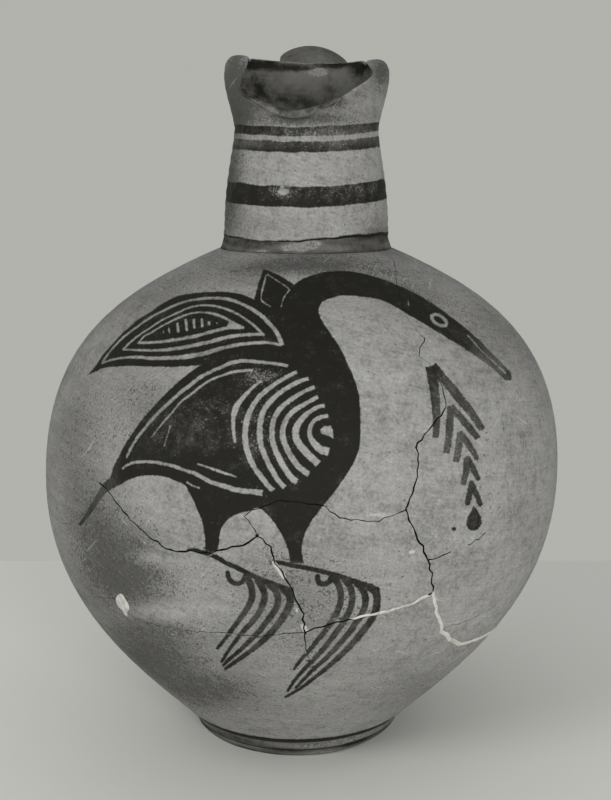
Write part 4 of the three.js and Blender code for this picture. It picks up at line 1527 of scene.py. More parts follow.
    def flake_rings(self, levels: Marks) -> Array:
        """Rings of the filled flake's outline.

        Args:
            levels: Share of the outline's size and height over the wall for each ring.

        Returns:
            Points by ring, side and axis.
        """
        marks = evenly(smooth_line(FLAKE_EDGE, 1.0, True), self.flake_step)
        middle = marks.mean(axis=0)
        rings = []
        for share, out in levels:
            places, normals = self.on_wall(middle + (marks - middle) * share)
            rings.append(places + normals * out)
        return np.stack(rings)

    def in_front(self, points: Array) -> Array:
        """Tells which points of the leaning body lie on the outside of its painted front."""
        outer = np.abs(self.depth_at(self.upright(points))) < self.outer_reach
        return outer & (points[:, 1] < self.painted_front)

    def on_front(self, points: Array, measure: Callable[[Array], Array]) -> Array:
        """Measures the painted front at points of the leaning body.

        Args:
            points: The points.
            measure: Finds distances from pixels.

        Returns:
            Their distances in pixels, which are far for all points off the front.
        """
        found = np.full(len(points), PAINT_FAR)
        front = self.in_front(points)
        found[front] = measure(self.view.pixels(points[front]))
        return found

    def edge_distance(self, points: Array) -> Array:
        """Distance from the nearest edge of the painting or of a smear of filling, in pixels."""
        both = [self.on_front(points, measure) for measure in (self.figure.signed, self.figure.smeared)]
        return np.minimum(*np.abs(both))

    def upright(self, points: Array) -> Array:
        """Takes the lean off points of the body."""
        return Lean(-BODY_LEAN.angle, BODY_LEAN.still).applied(points)

    def depth_at(self, straight: Array) -> Array:
        """How deep under the outside points of the upright body lie."""
        height = straight[:, 2]
        return (self.radius_at(height) - radii(straight)) * self.normal_at(height)[:, 0]

    def thrown(self, points: Array) -> Array:
        """Gives points on the outside the ridges and dents of a thrown wall.

        Args:
            points: Points of the leaning body.

        Returns:
            The moved points.
        """
        straight = self.upright(points)
        height = straight[:, 2]
        exact = np.abs(self.depth_at(straight)) < self.exact_reach
        climb = height / self.ridge_pitch + azimuths(straight) / 360 + 0.35 * np.sin(height / 17)
        ridge = self.ridge * (0.5 - 0.5 * np.sin(2 * math.pi * climb))
        ridge = ridge * (0.6 + 0.4 * ripple(straight, 70, 3))
        dent = self.dent * (0.5 + 0.35 * ripple(straight, 130, 5))
        off_ends = eased(height, *self.plain_foot) * (1 - eased(height, *self.plain_seat))
        depth = np.where(exact, np.clip(ridge + dent, 0, None) * off_ends, 0)
        slant = self.normal_at(height)
        radius = np.maximum(radii(straight), 1)[:, None]
        out = np.column_stack([slant[:, :1] * straight[:, :2] / radius, slant[:, 1]])
        return points - out * depth[:, None]

    def broken_faces(self, piece: Piece) -> Array:
        """Tells which faces of a leaning sherd lie in a break, between the wall's two sides.

        Args:
            piece: The sherd.

        Returns:
            One answer for each face.
        """
        centres = np.empty(len(piece.data.polygons) * 3, np.float32)
        piece.data.polygons.foreach_get("center", centres)
        straight = self.upright(centres.reshape(-1, 3).astype(float) / MM)
        height = straight[:, 2]
        depth = self.depth_at(straight)
        between = (depth > 0.04) & (depth < self.wall - 0.1)
        return between & (height > self.base_height + 1) & (height < self.seat_height - 0.5)

    def dress_sherd(self, piece: Piece) -> None:
        """Writes the traces of a finished sherd, before its wall gets its ridges.

        Args:
            piece: The sherd.
        """
        points = Bench.points(piece)
        pixels = self.view.pixels(points)
        front = self.in_front(points)
        paint = self.on_front(points, self.figure.signed)
        elsewhere = 0.2 + 0.15 * ripple(points, 60, 9)
        near_front = 1 - eased(points[:, 1], self.full_front, self.painted_front)
        at_foot = (points[:, 2] < self.foot_paint_end) & (radii(points) > self.foot_paint_radius)
        foot_line = np.where(at_foot, (points[:, 2] - self.foot_paint) / PIXEL_MM, PAINT_FAR)
        write_trace(piece, Trace.PAINT, np.minimum(paint, foot_line))
        write_trace(piece, Trace.FADE, np.where(front, spots_at(FADED_SPOTS, pixels), 0))
        write_trace(piece, Trace.WEAR, np.where(front, spots_at(WORN_SPOTS, pixels) - 0.15, 0))
        write_trace(piece, Trace.STAIN, blended(elsewhere, spots_at(STAIN_AND_SHADE_SPOTS, pixels), near_front))
        # The faces inside the breaks go near black: grime and glue, with painted shade that deepens the
        # narrow cracks
        write_trace(piece, Trace.DIRT, self.broken_faces(piece), "FACE")
        write_trace(piece, Trace.CHALK, self.on_front(points, self.figure.smeared))

    def build(self, clay: Material, plaster: Material) -> None:
        """Makes the sherds and the filling.

        Args:
            clay: The sherds' finish.
            plaster: The filling's finish.
        """
        shell = self.shell()
        for seed, line in enumerate(BREAKS, FIRST_BREAK_SEED):
            Bench.cut(shell, self.blade(line, seed))
        for line, seed in ((RIGHT_SEAM, RIGHT_SEAM_SEED), (CENTRE_SEAM, CENTRE_SEAM_SEED)):
            Bench.cut(shell, self.seam_blade(line, seed))
        Bench.cut(shell, Bench.tube("flake_blade", self.flake_rings(self.flake_cut)))
        pieces = Bench.parted(shell)
        for node, mark in SHERD_MARKS.items():
            target, _ = self.on_wall(np.array([mark]))
            nearest = [np.linalg.norm(Bench.points(piece) - target[0], axis=1).min() for piece in pieces]
            sherd = pieces.pop(int(np.argmin(nearest)))
            sherd.name = f"{node}_clay"
            Bench.move(sherd, BODY_LEAN.applied(Bench.points(sherd)))
            Bench.subdivided(sherd, self.edge_distance(Bench.points(sherd)) < self.near_edge, 2)
            Bench.subdivided(sherd, self.edge_distance(Bench.points(sherd)) < self.closest_edge, 1)
            self.dress_sherd(sherd)
            Bench.move(sherd, self.thrown(Bench.points(sherd)))
            Bench.smoothed(sherd, 40)
            finish_piece(sherd, node, clay)
        for crumb in pieces:
            bpy.data.objects.remove(crumb, do_unlink=True)
        right = self.seam_filling("right_filling", RIGHT_SEAM, RIGHT_SEAM_SEED, 0.0)
        centre = self.seam_filling("centre_filling", CENTRE_SEAM, CENTRE_SEAM_SEED, 0.6)
        flake = Bench.tube("flake_filling", self.flake_rings(self.flake_levels))
        fillings = {"plaster_seam_right": right, "plaster_seam_centre": centre, "plaster_flake": flake}
        for node, filling in fillings.items():
            # The sunk end of the centre filling goes near black: grime, with painted shade so that it reads
            # as an open crack
            sunk = azimuths(Bench.points(filling)) < CENTRE_SEAM.sunk_before
            write_trace(filling, Trace.DIRT, sunk & (filling is centre))
            Bench.move(filling, BODY_LEAN.applied(Bench.points(filling)))
            Bench.smoothed(filling, 60)
            finish_piece(filling, node, plaster)


@dataclass
class Foot:
    """The low ring that the jug stands on."""

    height: float = 8.2
    radius: float = 40.0
    width: float = 10.0
    face: float = 4.0
    bulge: float = 3.5
    edge_spread: float = 0.7
    edge_lift: float = 0.35
    groove: float = 0.65
    groove_width: float = 0.07
    groove_shares: Marks = ((0.42, 1.0), (0.9, 0.7))
    top_radius: float = 44.25
    steps: int = 240

    def build(self, clay: Material) -> None:
        """Makes and dresses the ring.

        Args:
            clay: Its finish.
        """
        share = np.linspace(0, 1, 30)[:, None]
        inner = self.radius - self.width
        start = np.array([self.radius + self.edge_spread, self.edge_lift])
        pull = np.array([self.radius + self.bulge, self.height * 0.35])
        end = np.array([self.top_radius, self.height])
        side = (1 - share) ** 2 * start + 2 * share * (1 - share) * pull + share**2 * end
        for place, deep in self.groove_shares:
            side[:, 0] -= self.groove * deep * bell(side[:, 1] / self.height, place, self.groove_width)
        face = self.radius - self.face
        hollow = [(inner - self.bulge * 0.5, self.height), (inner - 0.9, self.height * 0.5)]
        outline = np.vstack([
            [(inner + 0.6, 0.15), (inner + 1.5, 0.0), (face, 0.0), (self.radius - 0.3, 0.0)],
            side,
            [(face, self.height), *hollow],
        ])
        piece = Bench.turned("foot_clay", outline, self.steps, True)
        points = Bench.points(piece)
        radius = radii(points)
        worn = np.where(points[:, 2] > 0.05, 0.22 * ripple(points, 26, 21) - 0.2, 0)
        points[:, :2] *= (1 + np.where(radius > inner + 4, worn, 0) / radius)[:, None]
        points = BODY_LEAN.applied(points)
        Bench.move(piece, points)
        turn = azimuths(points)
        outside = radii(points) > self.radius - 1.6
        level = points[:, 2] / self.height
        ridges = bell(level, 0.66, 0.16) + 0.55 * bell(level, 0.2, 0.1)
        # Less rubbing towards the far right keeps that end darker, painted shade where the ring turns away
        rubbed = 0.12 + 1.1 * eased(turn, -40, 20) - 0.4 * eased(turn, 55, 90)
        streaks = ripple(points * (0.3, 0.3, 4.0), 14, 23)
        bared = np.clip(rubbed * ridges + 0.35 * streaks, 0, 1.2)
        write_trace(piece, Trace.PAINT, np.where(outside, 9.0 * bared - 6.0, PAINT_FAR))
        write_trace(piece, Trace.WEAR, 0.5 * rubbed * ridges + 0.2 * ripple(points, 14, 22))
        write_trace(piece, Trace.FADE, 0.5 + 0.7 * rubbed * ridges + 0.5 * streaks)
        # Painted shade: near black in the groove and along the top, where the ring tucks under the body
        write_trace(piece, Trace.DIRT, 0.75 * bell(level, 0.43, 0.05) + 0.9 * eased(level, 0.9, 0.97))
        write_trace(piece, Trace.STAIN, 0.4)
        write_trace(piece, Trace.CHALK, PAINT_FAR)
        Bench.smoothed(piece, 45)
        finish_piece(piece, "foot_ring", clay)


COLLAR_WORN_SPOTS = (
    Spot(300, 247, 12, 7, 0.9), Spot(315, 244, 8, 6, 0.7), Spot(285, 248, 7, 4, 0.6),
    Spot(262, 251, 10, 2.5, 0.7), Spot(340, 247, 14, 4, 0.35), Spot(378, 246, 12, 6, 0.4),
)


@dataclass
class Collar:
    """The painted ring between body and neck."""

    view: PhotoView
    bottom: float = 195.1
    top: float = 199.45
    foot_radius: float = 33.6
    top_radius: float = 32.2
    bore: float = 28.0
    steps: int = 220

    def build(self, clay: Material) -> None:
        """Makes and dresses the ring.

        Args:
            clay: Its finish.
        """
        share = np.linspace(0, 1, 14)
        side = np.column_stack([
            self.top_radius + (self.foot_radius - self.top_radius) * (1 - share) ** 1.6,
            blended(self.bottom, self.top, share),
        ])
        outline = np.vstack([[(self.bore, self.bottom)], side, [(self.bore, self.top)]])
        piece = Bench.turned("collar_clay", outline, self.steps, True)
        points = Bench.points(piece)
        radius = radii(points)
        level = (points[:, 2] - self.bottom) / (self.top - self.bottom)
        uneven = 0.2 * ripple(points, 18, 31) + 0.14 * ripple(points, 6, 32) - 0.15
        points[:, :2] *= (1 + np.where(radius > self.bore + 2, uneven, 0) / radius)[:, None]
        points[:, 2] += level * joint_wave(points)
        points = NECK_LEAN.applied(points)
        Bench.move(piece, points)
        pixels = self.view.pixels(points)
        rubbed = blended(0.15, spots_at(COLLAR_WORN_SPOTS, pixels), 1 - eased(points[:, 1], *NECK_SIDES))
        write_trace(piece, Trace.PAINT, 11.0 * rubbed + 1.5 * ripple(points, 5, 34) - 6.0)
        write_trace(piece, Trace.WEAR, rubbed)
        streaks = ripple(points * (0.4, 0.4, 3.0), 12, 33)
        write_trace(piece, Trace.FADE, 0.36 + 0.7 * rubbed + 0.25 * streaks)
        # Near black along the joint with the neck, grime with painted shade in the crack, and darker along
        # the foot where the collar meets the shoulder
        dirt_and_shade = 0.6 * joint_dirt_and_shade(points) * eased(level, 0.93, 1.0) + 0.5 * (1 - eased(level, 0.0, 0.12))
        write_trace(piece, Trace.DIRT, dirt_and_shade)
        write_trace(piece, Trace.STAIN, 0.3)
        write_trace(piece, Trace.CHALK, PAINT_FAR)
        Bench.smoothed(piece, 50)
        finish_piece(piece, "neck_collar", clay)


@dataclass(frozen=True)
class Band:
    """A painted band round the neck, from its top down to its foot."""

    top: float
    foot: float


NECK_WORN_SPOTS = (
    Spot(283, 191, 12, 7, 1.0), Spot(320, 133, 50, 16, 0.6), Spot(345, 188, 40, 12, 0.4),
    Spot(300, 110, 40, 9, 0.4),
)
# Stains on the neck's front, mixed with painted shade under the front lip; the horns and the neck's left
# edge are made darker too
NECK_STAIN_AND_SHADE_SPOTS = (
    Spot(236, 75, 14, 26, 0.75), Spot(240, 112, 14, 16, 0.5), Spot(382, 72, 14, 22, 0.55),
    Spot(300, 119, 60, 8, 0.6), Spot(224, 175, 18, 70, 0.75), Spot(378, 232, 18, 8, 0.4),
    Spot(270, 225, 30, 12, 0.12), Spot(334, 102, 15, 7, 0.6), Spot(262, 105, 14, 6, 0.35),
)
NECK_BARE_SPOTS = (Spot(283, 192.8, 6.5, 3.3, 0.85), Spot(270, 196, 3, 2.2, 0.6))
NECK_FADED_SPOTS = (
    Spot(245, 143, 25, 6, 0.35), Spot(350, 135, 40, 14, 0.3), Spot(300, 112, 50, 7, 0.35),
    Spot(345, 190, 40, 12, 0.2), Spot(305, 138, 90, 14, 0.28),
)
# Worn patches on the lip, and a paler patch on the upper back wall inside the mouth: worn slip with a
# painted pool of light where the lamps reach in
MOUTH_WEAR_AND_LIGHT_SPOTS = (
    Spot(318, 73, 9, 4.5, 1.0), Spot(302, 80, 30, 9, 0.3), Spot(342, 78, 12, 8, 0.12),
    Spot(254, 72, 9, 5, 0.15), Spot(262, 106, 18, 7, 0.25), Spot(300, 114, 45, 4, 0.1),
)
# Darker slip along the inside of the rim, and painted shade lower and to the left inside the mouth
MOUTH_SLIP_AND_SHADE_SPOTS = (
    Spot(262, 65, 15, 4, 0.8), Spot(300, 69, 22, 2.5, 0.8), Spot(335, 65, 14, 2.5, 0.8),
    Spot(359, 68, 7, 6, 0.9), Spot(250, 90, 24, 15, 0.48), Spot(295, 101, 45, 6, 0.15),
    Spot(300, 66, 60, 3, 0.3),
)
# Bare clay high on the back wall inside the mouth, worn and painted as a pool of light
MOUTH_BARE_AND_LIT_SPOTS = (Spot(318, 73, 8, 3.4, 1.0),)


@dataclass
class Neck:
    """The thrown neck with its pinched mouth."""

    view: PhotoView
    base: float = 199.6
    height: float = 41.5
    radius: float = 32.2
    throat_radius: float = 27.8
    wall: float = 4.2
    lip_wall: float = 3.4
    side_lip_wall: float = 1.5
    lip_rounding: float = 1.1
    front_rise: float = 2.8
    front_radius: float = 30.4
    side_rise: float = 27.0
    side_radius: float = 23.8
    side_bulge: float = 32.0
    right_side_drop: float = 1.6
    back_rise: float = 25.5
    back_radius: float = 31.5
    pinch_azimuth: float = 95.0
    pinch_reach: float = 50.0
    spout_turn: float = -8.0
    spout_rounding: float = 18.0
    spout_left_slope: float = 0.94
    spout_right_slope: float = 1.3
    back_lift: float = 1.8
    flare_start: float = 0.4
    spout_flare_start: float = 0.62
    back_curl_height: float = 0.7
    side_curl_height: float = 1.12
    spout_curl_height: float = 0.74
    side_curl_reach: float = 0.75
    edge_flare: float = 0.4
    steps: int = 264
    stem_rows: int = 44
    mouth_rows: int = 26
    lip_rows: int = 7
    bands: tuple[Band, ...] = (Band(240.6, 237.2), Band(235.3, 231.4), Band(219.3, 211.8))
    band_rise_left: float = 1.5
    band_rise_right: float = 2.5
    ridge: float = 0.14
    ridge_pitch: float = 4.3
    rim_rows: float = 22.0
    joint_fade: float = 7.0
    deep_paint_rows: int = 18
    foot_paint: Marks = ((-90, 0.8), (-40, 0.3), (-10, 0), (15, 0.2), (40, 1.0), (70, 1.3), (180, 0.5))

    def outside(self, turn: Array) -> Array:
        """Outlines of the outside, from the collar up to the rim's edge.

        Args:
            turn: Azimuths in degrees.

        Returns:
            Radius and height by azimuth and row.
        """
        throat_height = self.base + self.height
        away = np.abs(turn)
        right = turn > self.spout_turn
        run = np.hypot(turn - self.spout_turn, self.spout_rounding) - self.spout_rounding
        reach = np.where(right, self.pinch_azimuth - self.spout_turn, self.pinch_azimuth + self.spout_turn)
        full_run = np.hypot(reach, self.spout_rounding) - self.spout_rounding
        slope = np.where(right, self.spout_right_slope, self.spout_left_slope)
        spout = np.clip(1 - run / full_run, 0, 1) ** slope
        pinch = np.cos(np.clip((away - self.pinch_azimuth) / self.pinch_reach, -1, 1) * math.pi / 2) ** 2
        open_radius = blended(self.back_radius, self.front_radius, spout)
        side_rise = np.where(turn > 0, self.side_rise - self.right_side_drop, self.side_rise)
        left = np.maximum(-np.sin(np.radians(turn)), 0)
        back_rise = self.back_rise + self.back_lift * eased(away, 100, 150) * left
        rise = blended(blended(back_rise, side_rise, pinch), self.front_rise, spout)
        flare_radius = blended(blended(self.throat_radius, self.side_bulge, self.edge_flare * pinch),
                               self.throat_radius, spout)
        flare_height = rise * blended(self.flare_start, self.spout_flare_start, spout)
        side_curl = self.side_bulge + (self.side_bulge - self.side_radius) * self.side_curl_reach
        curl_radius = blended(blended(self.throat_radius, open_radius, self.edge_flare), side_curl, pinch)
        curl_share = blended(blended(self.back_curl_height, self.side_curl_height, pinch),
                             self.spout_curl_height, spout)

        def spots(radius: Values, height: Values) -> Array:
            """One handle for each azimuth."""
            both = np.broadcast_arrays(radius, height, turn)[:2]
            return np.stack(both, axis=-1)[:, None, :].astype(float)

        throat = spots(self.throat_radius, throat_height)
        stem = bezier([
            spots(self.radius, self.base),
            spots(self.radius, self.base + self.height * 0.5),
            spots(self.throat_radius, throat_height - self.height * 0.2),
            throat,
        ], np.linspace(0, 1, self.stem_rows)[None, :, None])
        mouth = bezier([
            throat,
            spots(flare_radius, throat_height + flare_height),
            spots(curl_radius, throat_height + rise * curl_share),
            spots(blended(open_radius, self.side_radius, pinch), throat_height + rise),
        ], np.linspace(0, 1, self.mouth_rows)[None, :, None])
        return np.concatenate([stem, mouth[:, 1:]], axis=1)

    def meridians(self, turn: Array) -> Array:
        """Draws closed outlines of the wall: up the outside, over the lip and down the inside.

        Args:
            turn: Azimuths in degrees.

        Returns:
            Radius and height by azimuth and row.
        """
        outside = self.outside(turn)
        rows = outside.shape[1]
        off_spout = eased(np.abs(turn - self.spout_turn), 6, 42)
        rim_wall = blended(self.lip_wall, self.side_lip_wall, off_spout)[:, None]
        inside = beside(outside, blended(self.wall, rim_wall, np.linspace(0, 1, rows)[None, :]))
        inside[:, 0] = (self.radius - self.wall, self.base)
        edge = outside[:, -1:]
        onward = unit(edge - outside[:, -2:-1])
        across = (inside[:, -1:] - edge) / 2
        swing = (np.arange(1, self.lip_rows + 1) / (self.lip_rows + 1) * math.pi)[None, :, None]
        lip = edge + across - across * np.cos(swing) + onward * self.lip_rounding * np.sin(swing)
        return np.concatenate([outside, lip, inside[:, ::-1]], axis=1)

    def build(self, clay: Material) -> None:
        """Makes and dresses the neck.

        Args:
            clay: Its finish.
        """
        pattern = self.meridians(np.array([90.0]))[0]
        piece = Bench.turned("neck_clay", pattern, self.steps, True)
        points = Bench.points(piece)
        turn = azimuths(points)
        flat = np.column_stack([radii(points), points[:, 2]])
        row = np.array([np.argmin(((pattern - spot) ** 2).sum(axis=1)) for spot in flat])
        steps = np.round((turn + 180) / 360 * self.steps).astype(int) % self.steps
        shapes = self.meridians(np.arange(self.steps) / self.steps * 360 - 180)
        placed = shapes[steps, row]
        angle = np.radians(steps / self.steps * 360 - 180)
        points = around(placed[:, 0], angle, placed[:, 1])
        rows = self.stem_rows + self.mouth_rows - 1
        inner = row >= rows + self.lip_rows
        near_rim = np.clip(1 - np.abs(row - rows - self.lip_rows / 2) / self.rim_rows, 0, 1)
        ridge = self.ridge * np.sin(points[:, 2] / self.ridge_pitch * 2 * math.pi + angle)
        ridge = ridge * (0.6 + 0.4 * ripple(points, 30, 41))
        chipped = np.where(near_rim > 0.8, 0.12 * ripple(points, 9, 43), 0)
        uneven = 0.22 * ripple(points, 48, 42) - 0.15 + chipped
        push = np.where(points[:, 2] > self.base + 1.5, ridge * (1 - near_rim) + uneven, 0)
        push = np.where(inner, -push, push)
        points[:, :2] *= (1 + push / np.maximum(placed[:, 0], 1))[:, None]
        points[:, 2] += 0.35 * eased(near_rim, 0.3, 1.0) * (ripple(points, 30, 44) - 0.6)
        at_joint = 1 - eased(points[:, 2], self.base, self.base + self.joint_fade)
        points[:, 2] += joint_wave(points) * at_joint
        points = NECK_LEAN.applied(points)
        Bench.move(piece, points)
        self.dress(piece, points, row)
        Bench.smoothed(piece, 50)
        finish_piece(piece, "neck", clay)

    def band_distance(self, points: Array) -> Array:
        """Measures how far points lie from the painted bands.

        Args:
            points: Points of the neck.

        Returns:
            The distances in pixels, negative in a band.
        """
        turn = azimuths(points)
        away = np.sin(np.radians(np.minimum(np.abs(turn), 90))) ** 2
        to_right = 0.5 + 0.5 * np.sin(np.radians(turn))
        height = points[:, 2] - blended(self.band_rise_left, self.band_rise_right, to_right) * away
        height = height + 0.2 * ripple(points, 16, 46) + 0.12 * ripple(points, 6, 47)
        paint = np.full(len(points), PAINT_FAR)
        for band in self.bands:
            middle = (band.top + band.foot) / 2
            paint = np.minimum(paint, (np.abs(height - middle) - (band.top - band.foot) / 2) / PIXEL_MM)
        return paint

    def dress(self, piece: Piece, points: Array, row: Array) -> None:
        """Writes the neck's traces.

        Args:
            piece: The neck.
            points: Its points.
            row: Row of each point along its outline.
        """
        turn = azimuths(points)
        rows = self.stem_rows + self.mouth_rows - 1
        pixels = self.view.pixels(points)
        inner = row >= rows
        front = ~inner & (points[:, 1] < 0)
        near_front = 1 - eased(points[:, 1], *NECK_SIDES)
        bared = np.where(front, 16 * spots_at(NECK_BARE_SPOTS, pixels), 0)
        paint = self.band_distance(points) + bared
        over_joint = points[:, 2] - self.base - joint_wave(points)
        foot_paint = np.interp(turn, *np.transpose(self.foot_paint))
        paint = np.minimum(paint, (over_joint - foot_paint) / PIXEL_MM)
        bare_lip = self.lip_rows * np.maximum(eased(turn, 20, 48), eased(-turn, 50, 85))
        lip_edge = (rows - 1.5 + 1.5 * ripple(points, 16, 45) + bare_lip - row) * 0.25 / PIXEL_MM
        deep_edge = (row - rows - self.lip_rows - self.mouth_rows - self.deep_paint_rows) / PIXEL_MM
        paint = np.minimum(paint, np.maximum(lip_edge, deep_edge))
        worn = blended(0.3, spots_at(NECK_WORN_SPOTS, pixels), near_front)
        # Paler inside the mouth at the top of the back wall: worn slip, with a painted pool of light
        light = spots_at(MOUTH_WEAR_AND_LIGHT_SPOTS, pixels)
        lip = bell(row, rows + 3, 6) * near_front
        blotched = 0.5 + ripple(points, 5, 60) + 0.6 * ripple(points, 2.6, 61)
        worn = np.where(inner, 1.1 * light - 0.1 + 0.5 * blotched * (lip + 0.4), worn)
        worn = worn + 0.7 * bell(row, rows, 1.5)
        faded = blended(0.2, spots_at(NECK_FADED_SPOTS, pixels), near_front)
        uneven = 0.15 * ripple(points, 14, 48) + 0.12 * ripple(points * (1, 1, 3), 7, 49) + 0.1 * blotched
        # The slip inside the mouth is paler where the painted light falls, and darker lower and to the left
        # as painted shade
        mouth_faded = 0.62 + uneven + light - 0.25 * lip - spots_at(MOUTH_SLIP_AND_SHADE_SPOTS, pixels)
        faded = np.where(inner, mouth_faded, faded)
        # Bare clay where the painted pool of light is brightest inside the mouth
        bared = (11 + 6 * blotched) * spots_at(MOUTH_BARE_AND_LIT_SPOTS, pixels)
        paint = np.clip(paint, -PAINT_FAR, PAINT_FAR) + np.where(inner, bared, 0)
        write_trace(piece, Trace.PAINT, paint)
        write_trace(piece, Trace.WEAR, worn)
        write_trace(piece, Trace.FADE, faded)
        # Near black along the joint with the collar: grime, with painted shade in the crack
        dirt_and_shade = 0.8 * joint_dirt_and_shade(points) * (1 - eased(over_joint, 0.0, 0.5))
        write_trace(piece, Trace.DIRT, np.where(inner, 0.0, dirt_and_shade))
        write_trace(piece, Trace.STAIN, blended(0.3, 0.06 + spots_at(NECK_STAIN_AND_SHADE_SPOTS, pixels), near_front))
        write_trace(piece, Trace.CHALK, PAINT_FAR)


@dataclass
class Handle:
    """The strap from the back of the rim to the shoulder."""

    body: Body
    neck: Neck
    width: float = 29.0
    thickness: float = 11.5
    reach: float = 71.0
    arch: float = 3.85
    sag: float = 1.0
    shift: float = 3.05
    root_drop: float = 19.0
    waist: float = 0.04
    luted_share: float = 0.11
    luted_depth: float = 0.8
    luted_gap: float = 1.2
    luted_rise: float = 14.0
    root_swell: float = 0.22
    rim_swell: float = 0.08
    uneven: float = 0.18
    end_rings: tuple[float, ...] = (0.02, 0.25, 0.5, 0.75)
    tilt: float = 2.2
    rim_radius: float = 31.5
    rim_height: float = 266.6
    rings: int = 84
    sides: int = 40

    def middle(self) -> Array:
        """Draws the middle line of the strap.

        Returns:
            Places behind the jug and heights, one pair for each ring.
        """
        root_height = self.body.seat_height - self.root_drop
        root = self.body.radius_at(root_height)
        drop = self.rim_height - root_height
        thick = self.thickness
        line = (
            (self.rim_radius - 1, self.rim_height - thick * 0.62),
            (self.rim_radius + thick * 0.6, self.rim_height + self.arch * 0.2),
            (blended(self.rim_radius, self.reach, 0.5), self.rim_height + self.arch),
            (blended(self.rim_radius, self.reach, 0.83), self.rim_height - drop * 0.09),
            (self.reach, self.rim_height - drop * 0.3),
            (self.reach + self.sag, self.rim_height - drop * 0.6),
            (root, root_height + thick * 0.8),
            (root - thick * 0.45, root_height - thick * 0.45),
        )
        drawn = evenly(smooth_line(line, 1.0), 1.0)
        share = np.linspace(0, len(drawn) - 1, self.rings)
        return np.column_stack([np.interp(share, np.arange(len(drawn)), column) for column in drawn.T])

    def wall_behind(self, x: Array, z: Array) -> Array:
        """How far back the middle of the neck's wall lies, so that the strap's end can follow it.

        Args:
            x: Places to the right.
            z: Heights.

        Returns:
            Places behind the jug's axis.
        """
        outline = self.neck.outside(np.array([180.0]))[0]
        radius = np.interp(z, outline[:, 1], outline[:, 0]) - self.luted_depth
        return np.sqrt(np.maximum(radius**2 - x**2, 1.0))

    def closed_end(self, x: Array, z: Array) -> Array:
        """Makes the rings that close the luted end, which follow the neck's wall.

        Args:
            x: Places to the right of the strap's first ring.
            z: Heights of the strap's first ring.

        Returns:
            Places by ring and side, from the middle outwards.
        """
        part = np.array(self.end_rings)[:, None]
        x = blended(x.mean(), x[None, :], part)
        z = blended(z.mean(), z[None, :], part)
        return np.stack([x, self.wall_behind(x, z), z], axis=2)

    def luted_height(self, z: Array, share: Array) -> Array:
        """Greatest height of the strap's end, which stays under the rim where it is luted on."""
        clear = self.luted_rise * eased(share, 0, self.luted_share)[:, None]
        return np.full_like(z, self.rim_height - self.luted_gap) + clear

    def build(self, clay: Material) -> None:
        """Makes and dresses the handle.

        Args:
            clay: Its finish.
        """
        middle = self.middle()
        along = unit(np.gradient(middle, axis=0))
        outward = np.column_stack([-along[:, 1], along[:, 0]])
        share = np.linspace(0, 1, self.rings)
        swell = self.root_swell * np.exp(-(1 - share) / 0.05) + self.rim_swell * np.exp(-share / 0.04)
        wide = 0.5 * self.width * (1 - self.waist * np.sin(share * math.pi) + swell) - 0.2
        thick = 0.5 * self.thickness * (1 + 1.2 * swell) - 0.25
        turn = np.arange(self.sides) / self.sides * 2 * math.pi
        across = np.cos(turn)
        sine = np.sin(turn)
        over = np.sign(sine) * np.abs(sine) ** np.where(sine > 0, 1.5, 0.95)
        x = self.shift + wide[:, None] * across
        tilt = self.tilt * np.exp(-share / 0.25)
        rise = thick[:, None] * over - tilt[:, None] * across
        y = middle[:, :1] + outward[:, :1] * rise
        z = middle[:, 1:] + outward[:, 1:] * rise
        z = np.where(share[:, None] < self.luted_share, np.minimum(z, self.luted_height(z, share)), z)
        wall = self.wall_behind(x, z)
        luted = np.maximum(blended(wall, y, eased(share, 0, self.luted_share)[:, None]), wall)
        y = np.where(share[:, None] < 2 * self.luted_share, luted, y)
        strap = np.concatenate([self.closed_end(x[0], z[0]), np.stack([x, y, z], axis=2)])
        piece = Bench.tube("handle_clay", strap)
        points = Bench.points(piece)
        swing = [ripple(points, 30, 51), ripple(points, 34, 52), ripple(points, 30, 53) - 1]
        points += self.uneven * np.column_stack(swing)
        edge = eased(np.abs(points[:, 0] - self.shift) / (0.5 * self.width), 0.8, 1.0)
        edge = edge * (1 - eased(points[:, 2], 245, 262))
        points = NECK_LEAN.applied(points)
        Bench.move(piece, points)
        write_trace(piece, Trace.PAINT, 6 * edge * (0.6 + 0.5 * ripple(points, 9, 55)) - 5)
        write_trace(piece, Trace.WEAR, 0.1 + 0.3 * ripple(points, 26, 56))
        write_trace(piece, Trace.FADE, 0.65 + 0.13 * ripple(points, 18, 57) + 0.1 * ripple(points, 6, 58))
        write_trace(piece, Trace.DIRT, 0.0)
        write_trace(piece, Trace.STAIN, 0.3 + 0.15 * ripple(points, 50, 54))
        write_trace(piece, Trace.CHALK, PAINT_FAR)
        Bench.smoothed(piece, 60)
        finish_piece(piece, "handle", clay)


@dataclass(frozen=True)
class Lamp:
    """A soft lamp: its place and aim in metres, its size and its power."""

    name: str
    place: Triple
    aim: Triple
    size: float
    power: float

    def light(self) -> None:
        """Adds the lamp."""
        bpy.ops.object.light_add(type="AREA", location=self.place)
        lamp = bpy.context.object
        lamp.name = self.name
        lamp.data.shape = "DISK"
        lamp.data.size = self.size
        lamp.data.energy = self.power
        away = np.array(self.place) - np.array(self.aim)
        lean = math.atan2(math.hypot(away[0], away[1]), away[2])
        lamp.rotation_euler = (lean, 0, math.atan2(away[0], -away[1]))


